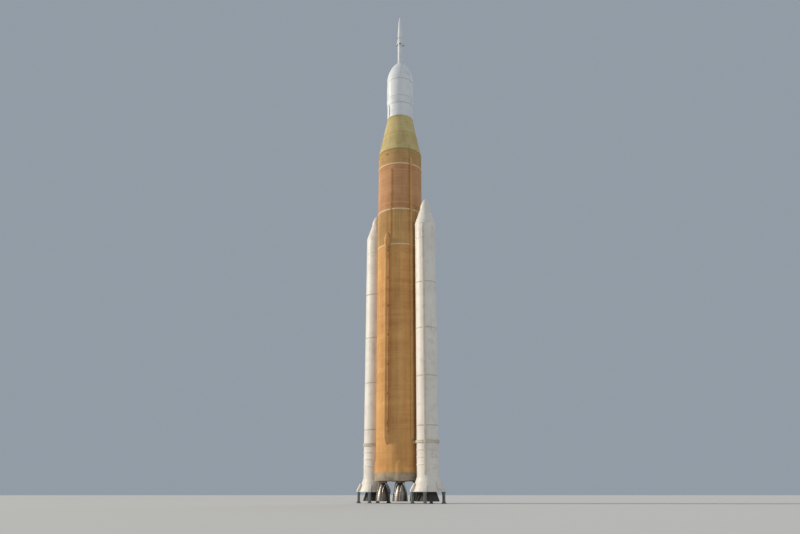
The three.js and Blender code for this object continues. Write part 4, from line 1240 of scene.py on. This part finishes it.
def add_posts():
    """A steel post under each hold-down foot: base plate with bolts, box column, gussets and head."""
    tall = span_of("booster_right_support_post_1")[1]
    head = [(0.02, tall - 0.026), (0.027, tall - 0.013), (0.027, tall)]
    parts = [block((0.07, 0.06, 0.012), 0.0015, (0, 0, 0.006)),
             slab([(-0.02, 0.01), (0.02, 0.01), (0.02, tall - 0.02), (-0.02, tall - 0.02)], 0.046, 0.003),
             slab(head + [(-x, z) for x, z in head[::-1]], 0.06, 0.002)]
    gusset = slab([(0.019, 0.011), (0.033, 0.011), (0.033, 0.016), (0.019, 0.055)], 0.006, 0.001)
    flank = slab([(0.021, 0.011), (0.029, 0.011), (0.029, 0.015), (0.021, 0.045)], 0.006, 0.001)
    for side in (-1, 1):
        parts += [placed(gusset, matrix(90 - side * 90)), placed(flank, matrix(side * 90)),
                  block((0.026, 0.004, 0.1), 0.0015, (0, side * 0.023, 0.095))]
    bolt = dome_head(0.0045, 0.005, 6)
    parts += [moved(bolt, x, y, 0.012) for x in (-0.027, 0.027) for y in (-0.022, 0.022)]
    post = moved(joined(*parts), POST_R)
    for side, spot in BOOSTER_SIDES:
        for k, angle in enumerate(POST_ANGLES, 1):
            add_piece(f"booster_{side}_post_{k}", placed(post, spot @ matrix(angle)), post_paint,
                      f"booster_{side}_support_post_{k}")


# Stage adapter, upper stage and spacecraft

SERVICE_R = 2.66 * M
SHOULDER = 0.35 * M
UPPER_ROUND = 144
CORNERS = (45, 135, 225, 315)
PANEL_COUNT = 3
PANEL_SEAM = 0.0006
PANEL_START = 30  # degrees


def stage_adapter(foot, top):
    """The foam-covered cone between core and upper stage, with its joint rings, doors and vents."""
    flange, ring = CORE_R + 0.003, UPPER_R + 0.007
    cone_foot, cone_top = foot + 0.025, top - 0.03
    lean = (CORE_R - UPPER_R - 0.004) / (cone_top - cone_foot)
    rows = barrel(flange, foot, cone_foot, edge=0.001) + [(CORE_R, cone_foot + 0.001)]
    rows += bands_on(CORE_R, [(cone_foot + 0.078, 0.004, 0.0014), (foot + 0.42, 0.007, 0.003),
                              (cone_top - 0.05, 0.004, 0.0014)], lean, cone_foot)
    rows += [(UPPER_R + 0.004, cone_top), *barrel(ring, cone_top, top, edge=0.001)[1:]]
    doors = [((52, 118, 242, 308), CORE_R - lean * 0.16, 0.095, foot + 0.13, foot + 0.24, 0.005, lean),
             ((20, 160, 200, 340), CORE_R - lean * 0.69, 0.052, foot + 0.67, foot + 0.76, 0.005, lean)]
    vents = [(angle, 1.0, foot + 0.062, foot + 0.08, 0.004) for angle in range(5, 360, 30)]
    return joined(covered_wall(rows, doors, 0.04, ROUND, vents),
                  bolts_round(96, flange - 0.0003, foot + 0.0125),
                  bolts_round(72, ring - 0.0003, top - 0.015))


def upper_stage(foot, top):
    """A short wall under a ledge, with two cable tunnels and doors."""
    ledge = top - 0.02
    outline = barrel(UPPER_R, foot, ledge, [(foot + 0.02, 0.012, 0.002), (foot + 0.13, 0.003, 0.0012),
                                            (ledge - 0.05, 0.003, 0.0012)])[:-1]
    outline += barrel(UPPER_R + 0.005, ledge, top, edge=0.001)[1:]
    doors = ((30, 210), UPPER_R, 0.066, foot + 0.05, foot + 0.115, 0.003)
    tunnel = tunnel_form(UPPER_R, UPPER_R + 0.016, 0.02, foot + 0.012, ledge - 0.004, 0.02, 0.09)
    return joined(covered_wall(outline, [doors], 0.04, UPPER_ROUND), ring_of(tunnel, (75, 255), 0))


def spacecraft_adapter(foot, top):
    """A slightly flaring ring with two bolted frames and small doors round it."""
    outer, rim = SERVICE_R + 0.004, top - 0.035
    outline = rows_from(UPPER_R, foot, [(0.004, 0), (0.005, 0.001), (0.005, 0.014), (0.003, 0.016)])
    outline += rows_from(outer, rim, [(-0.0025, -0.004), (0, -0.002), (0, 0.012), (-0.0015, 0.014)])
    outline += rows_from(outer, top, [(-0.0015, -0.008), (0, -0.006), (0, -0.001), (-0.001, 0)])
    doors = cover(range(20, 360, 40), UPPER_R, 0.032, foot + 0.035, foot + 0.085, 0.0026)
    return joined(stepped_wall(outline, doors, 0.03, UPPER_ROUND),
                  bolts_round(72, outer - 0.0004, rim + 0.005, 0.0022, 0.0016, start=2.5))


def service_panel(foot, top):
    """A curved panel between two upright seams. Each level is the panel's arc closed through a point
    near the axis; cover, vents and edge strips are steps in the arc's radius."""
    spread = 360 / PANEL_COUNT
    end, middle = PANEL_START + spread, PANEL_START + spread / 2
    patches = [(middle, 58.5, z, z + 0.004, -0.001) for z in (foot + 0.012, top - 0.02)]
    patches += [(side, 3, foot + 0.004, top - 0.004, 0.001) for side in (PANEL_START, end)]
    patches += cover((middle,), SERVICE_R, 0.105, foot + 0.14, foot + 0.27, 0.0026)
    patches += cover((middle - 36, middle + 36), SERVICE_R, 0.04, foot + 0.05, foot + 0.1, 0.0024)
    patches += [(middle + 29, 5, z, z + 0.005, -0.0016) for z in foot + 0.3 + 0.012 * np.arange(5)]
    turns, heights = patch_edges(patches)
    trim = PANEL_SEAM / SERVICE_R
    a0, a1 = math.radians(PANEL_START) + trim, math.radians(end) - trim
    angles = apart(np.union1d(np.linspace(a0, a1, 57), turns[(turns > a0) & (turns < a1)]))
    rows = finer(barrel(SERVICE_R - 0.0002, foot, top, edge=0.001), 0.04, heights)
    inner = np.zeros((len(rows), 1, 3))
    inner[:, 0, 1] = 2 * PANEL_SEAM / math.sin(math.radians(spread / 2))
    inner[:, 0, 2] = rows[:, 1]
    return lofted(np.concatenate([inner, swept(rows, angles, patch_lift(patches))], 1))


def crew_fairing(foot, top):
    """The ogive over the crew capsule: an arc in four gores, with hatches, smaller doors, two level
    seams and a base ring."""
    arc = ogive(SERVICE_R, 0.6 * M, foot + SHOULDER, top - foot - SHOULDER, 40)
    arc[-1, 0] -= 0.001
    base = rows_from(SERVICE_R, foot, [(-0.001, 0), (0, 0.001), (0, 0.022), (-0.0012, 0.0225),
                                       (-0.0012, 0.0245), (0, 0.025)])
    patches = [(angle, 0.4, foot + 0.025, top - 0.03, -0.0014) for angle in CORNERS]
    for angles, width, low, high, lift in (((0, 180), 0.075, 0.12, 0.21, 0.003),
                                           ((75, 255), 0.036, 0.05, 0.085, 0.002),
                                           ((110, 290), 0.026, 0.3, 0.335, 0.002)):
        patches += cover(angles, SERVICE_R, width, foot + low, foot + high, lift)
    patches += [(0, ALL_ROUND, z, z + 0.003, -0.0012) for z in (foot + 0.25, foot + 0.4)]
    return stepped_wall(np.concatenate([base, arc]), patches, 0.02, UPPER_ROUND)


# Abort tower

TOWER_R = 0.46 * M
TOWER_ROUND = 72


def hollow_nozzle(length, exit_r, throat_r, wall, sides=32):
    """A small bell, open downwards at z = 0: a closed wall round a hollow that ends in a floor. At the
    share t of its length its radius is throat_r + (exit_r - throat_r) (1 - t)^1.4."""
    t = np.linspace(0, 1, 9)
    outer = np.stack([throat_r + (exit_r - throat_r) * (1 - t) ** 1.4, t * length], -1)
    inner = outer[6::-1] - (wall, 0)
    floor, head = [(0.0005, inner[0, 1] + 0.001)], [(0.0005, length)]
    return turned(np.concatenate([floor, inner, outer, head]), sides)


def abort_motor(foot, top):
    """A slim case over a flared foot, with a raceway at each side, four raked nozzles and a blister
    over each of them."""
    head = top - 0.11
    rows = [(0.059, foot), (0.06, foot + 0.001), (0.06, foot + 0.01), (0.058, foot + 0.013),
            (TOWER_R + 0.001, foot + 0.046), (TOWER_R, foot + 0.05),
            *bands_on(TOWER_R, [(foot + up, 0.004, 0.0015) for up in (0.07, 0.24, 0.4)]),
            *rows_from(TOWER_R, head, [(0, 0), (0.004, 0.012), (0.008, 0.02)]),
            *rows_from(TOWER_R, top, [(0.008, -0.015), (0.006, -0.008), (0, 0)])]
    bell = hollow_nozzle(0.075, 0.024, 0.0115, 0.002)
    blister = turned(curve([(0.0005, 0.0), (0.011, 0.006), (0.0155, 0.03), (0.012, 0.06),
                            (0.0005, 0.078)], 5), 24)
    raceway = tunnel_form(TOWER_R, TOWER_R + 0.005, 0.006, foot + 0.055, head - 0.01, 0.01, 0.12)
    return joined(turned(finer(rows, 0.04), TOWER_ROUND),
                  ring_of(bell, CORNERS, TOWER_R + 0.033, head - 0.035, -22),
                  ring_of(blister, CORNERS, TOWER_R - 0.002, head + 0.01), ring_of(raceway, (0, 180), 0))


def jettison_motor(foot, top):
    """A short banded case with four small nozzles."""
    bands = [(foot + 0.014, 0.004, 0.0012), (foot + 0.11, 0.003, 0.001)]
    rows = barrel(TOWER_R, foot, top - 0.008, bands, 0.001)
    rows += rows_from(TOWER_R, top, [(-0.0025, -0.001), (-0.003, 0)])
    nozzle = hollow_nozzle(0.022, 0.0085, 0.005, 0.0012, 20)
    return joined(turned(finer(rows, 0.04), TOWER_ROUND),
                  ring_of(nozzle, (0, 90, 180, 270), TOWER_R + 0.007, foot + 0.022, -30))


def attitude_motor(foot, top):
    """A ring with eight round ports."""
    rows = rows_from(TOWER_R, foot, [(-0.004, 0), (-0.003, 0.001), (-0.003, 0.05), (-0.0045, 0.052)])
    rows += rows_from(TOWER_R, top, [(-0.009, -0.004), (-0.01, 0)])
    port = turned([(0.0065, -0.004), (0.0065, 0.002), (0.0052, 0.0025), (0.0045, 0.001),
                   (0.003, -0.003)], 18)
    return joined(turned(finer(rows, 0.03), TOWER_ROUND),
                  ring_of(port, np.arange(8) * 45 + 22.5, TOWER_R - 0.003, foot + 0.026, 90))


def abort_nose(foot, top):
    """The tower's pointed ogive nose."""
    tip = [(0.0075, top - 0.004), (0.004, top - 0.001), (0.001, top)]
    arc = ogive(TOWER_R - 0.01, 0.01, foot, top - foot - 0.008, 24)
    return turned(np.concatenate([arc, tip]), 64)


def add_pieces(*rows):
    """Adds pieces from rows (name, node, form function, finish, turn about Z in degrees)."""
    for name, node, make, finish, turn in rows:
        add_piece(name, placed(make(*span_of(node)), matrix(turn)), finish, node)


add_studio()
add_pieces(("hydrogen_tank_foam", "core_hydrogen_tank", tank, hydrogen_foam, 0),
           ("oxygen_tank_foam", "core_oxygen_tank", tank, oxygen_foam, 0),
           ("intertank_ribs", "core_intertank", intertank, intertank_foam, 0),
           ("forward_skirt_foam", "core_forward_skirt", forward_skirt, skirt_foam, 0))
add_umbilicals()
add_core_fittings()
add_pieces(("engine_section_foam", "core_engine_section", engine_section, hydrogen_foam, 0),
           ("base_insulation", "core_boat_tail", boat_tail, shield_paint, 0),
           ("feedline_front_pipe", "feedline_front", feedline, line_foam, FEEDLINE_ANGLE),
           ("feedline_back_pipe", "feedline_back", feedline, line_foam, 180 + FEEDLINE_ANGLE),
           ("core_cable_tunnel", "core_systems_tunnel", core_tunnel, line_foam, TUNNEL_ANGLE))
add_engines()
add_boosters()
add_posts()
add_pieces(("stage_adapter_cone", "stage_adapter", stage_adapter, adapter_foam, 0),
           ("upper_stage_wall", "upper_stage", upper_stage, craft_paint, 0),
           ("spacecraft_adapter_ring", "spacecraft_adapter", spacecraft_adapter, craft_paint, 0),
           *[(f"service_panel_{k + 1}_cover", f"service_panel_{k + 1}", service_panel, craft_paint,
              k * 360 / PANEL_COUNT) for k in range(PANEL_COUNT)],
           ("crew_fairing_shell", "crew_fairing", crew_fairing, craft_paint, 0),
           ("abort_motor_case", "abort_motor", abort_motor, tower_paint, 0),
           ("jettison_motor_case", "jettison_motor", jettison_motor, tower_paint, 0),
           ("attitude_motor_ring", "attitude_motor", attitude_motor, tower_paint, 0),
           ("abort_nose", "abort_nose_cone", abort_nose, tower_paint, 0))
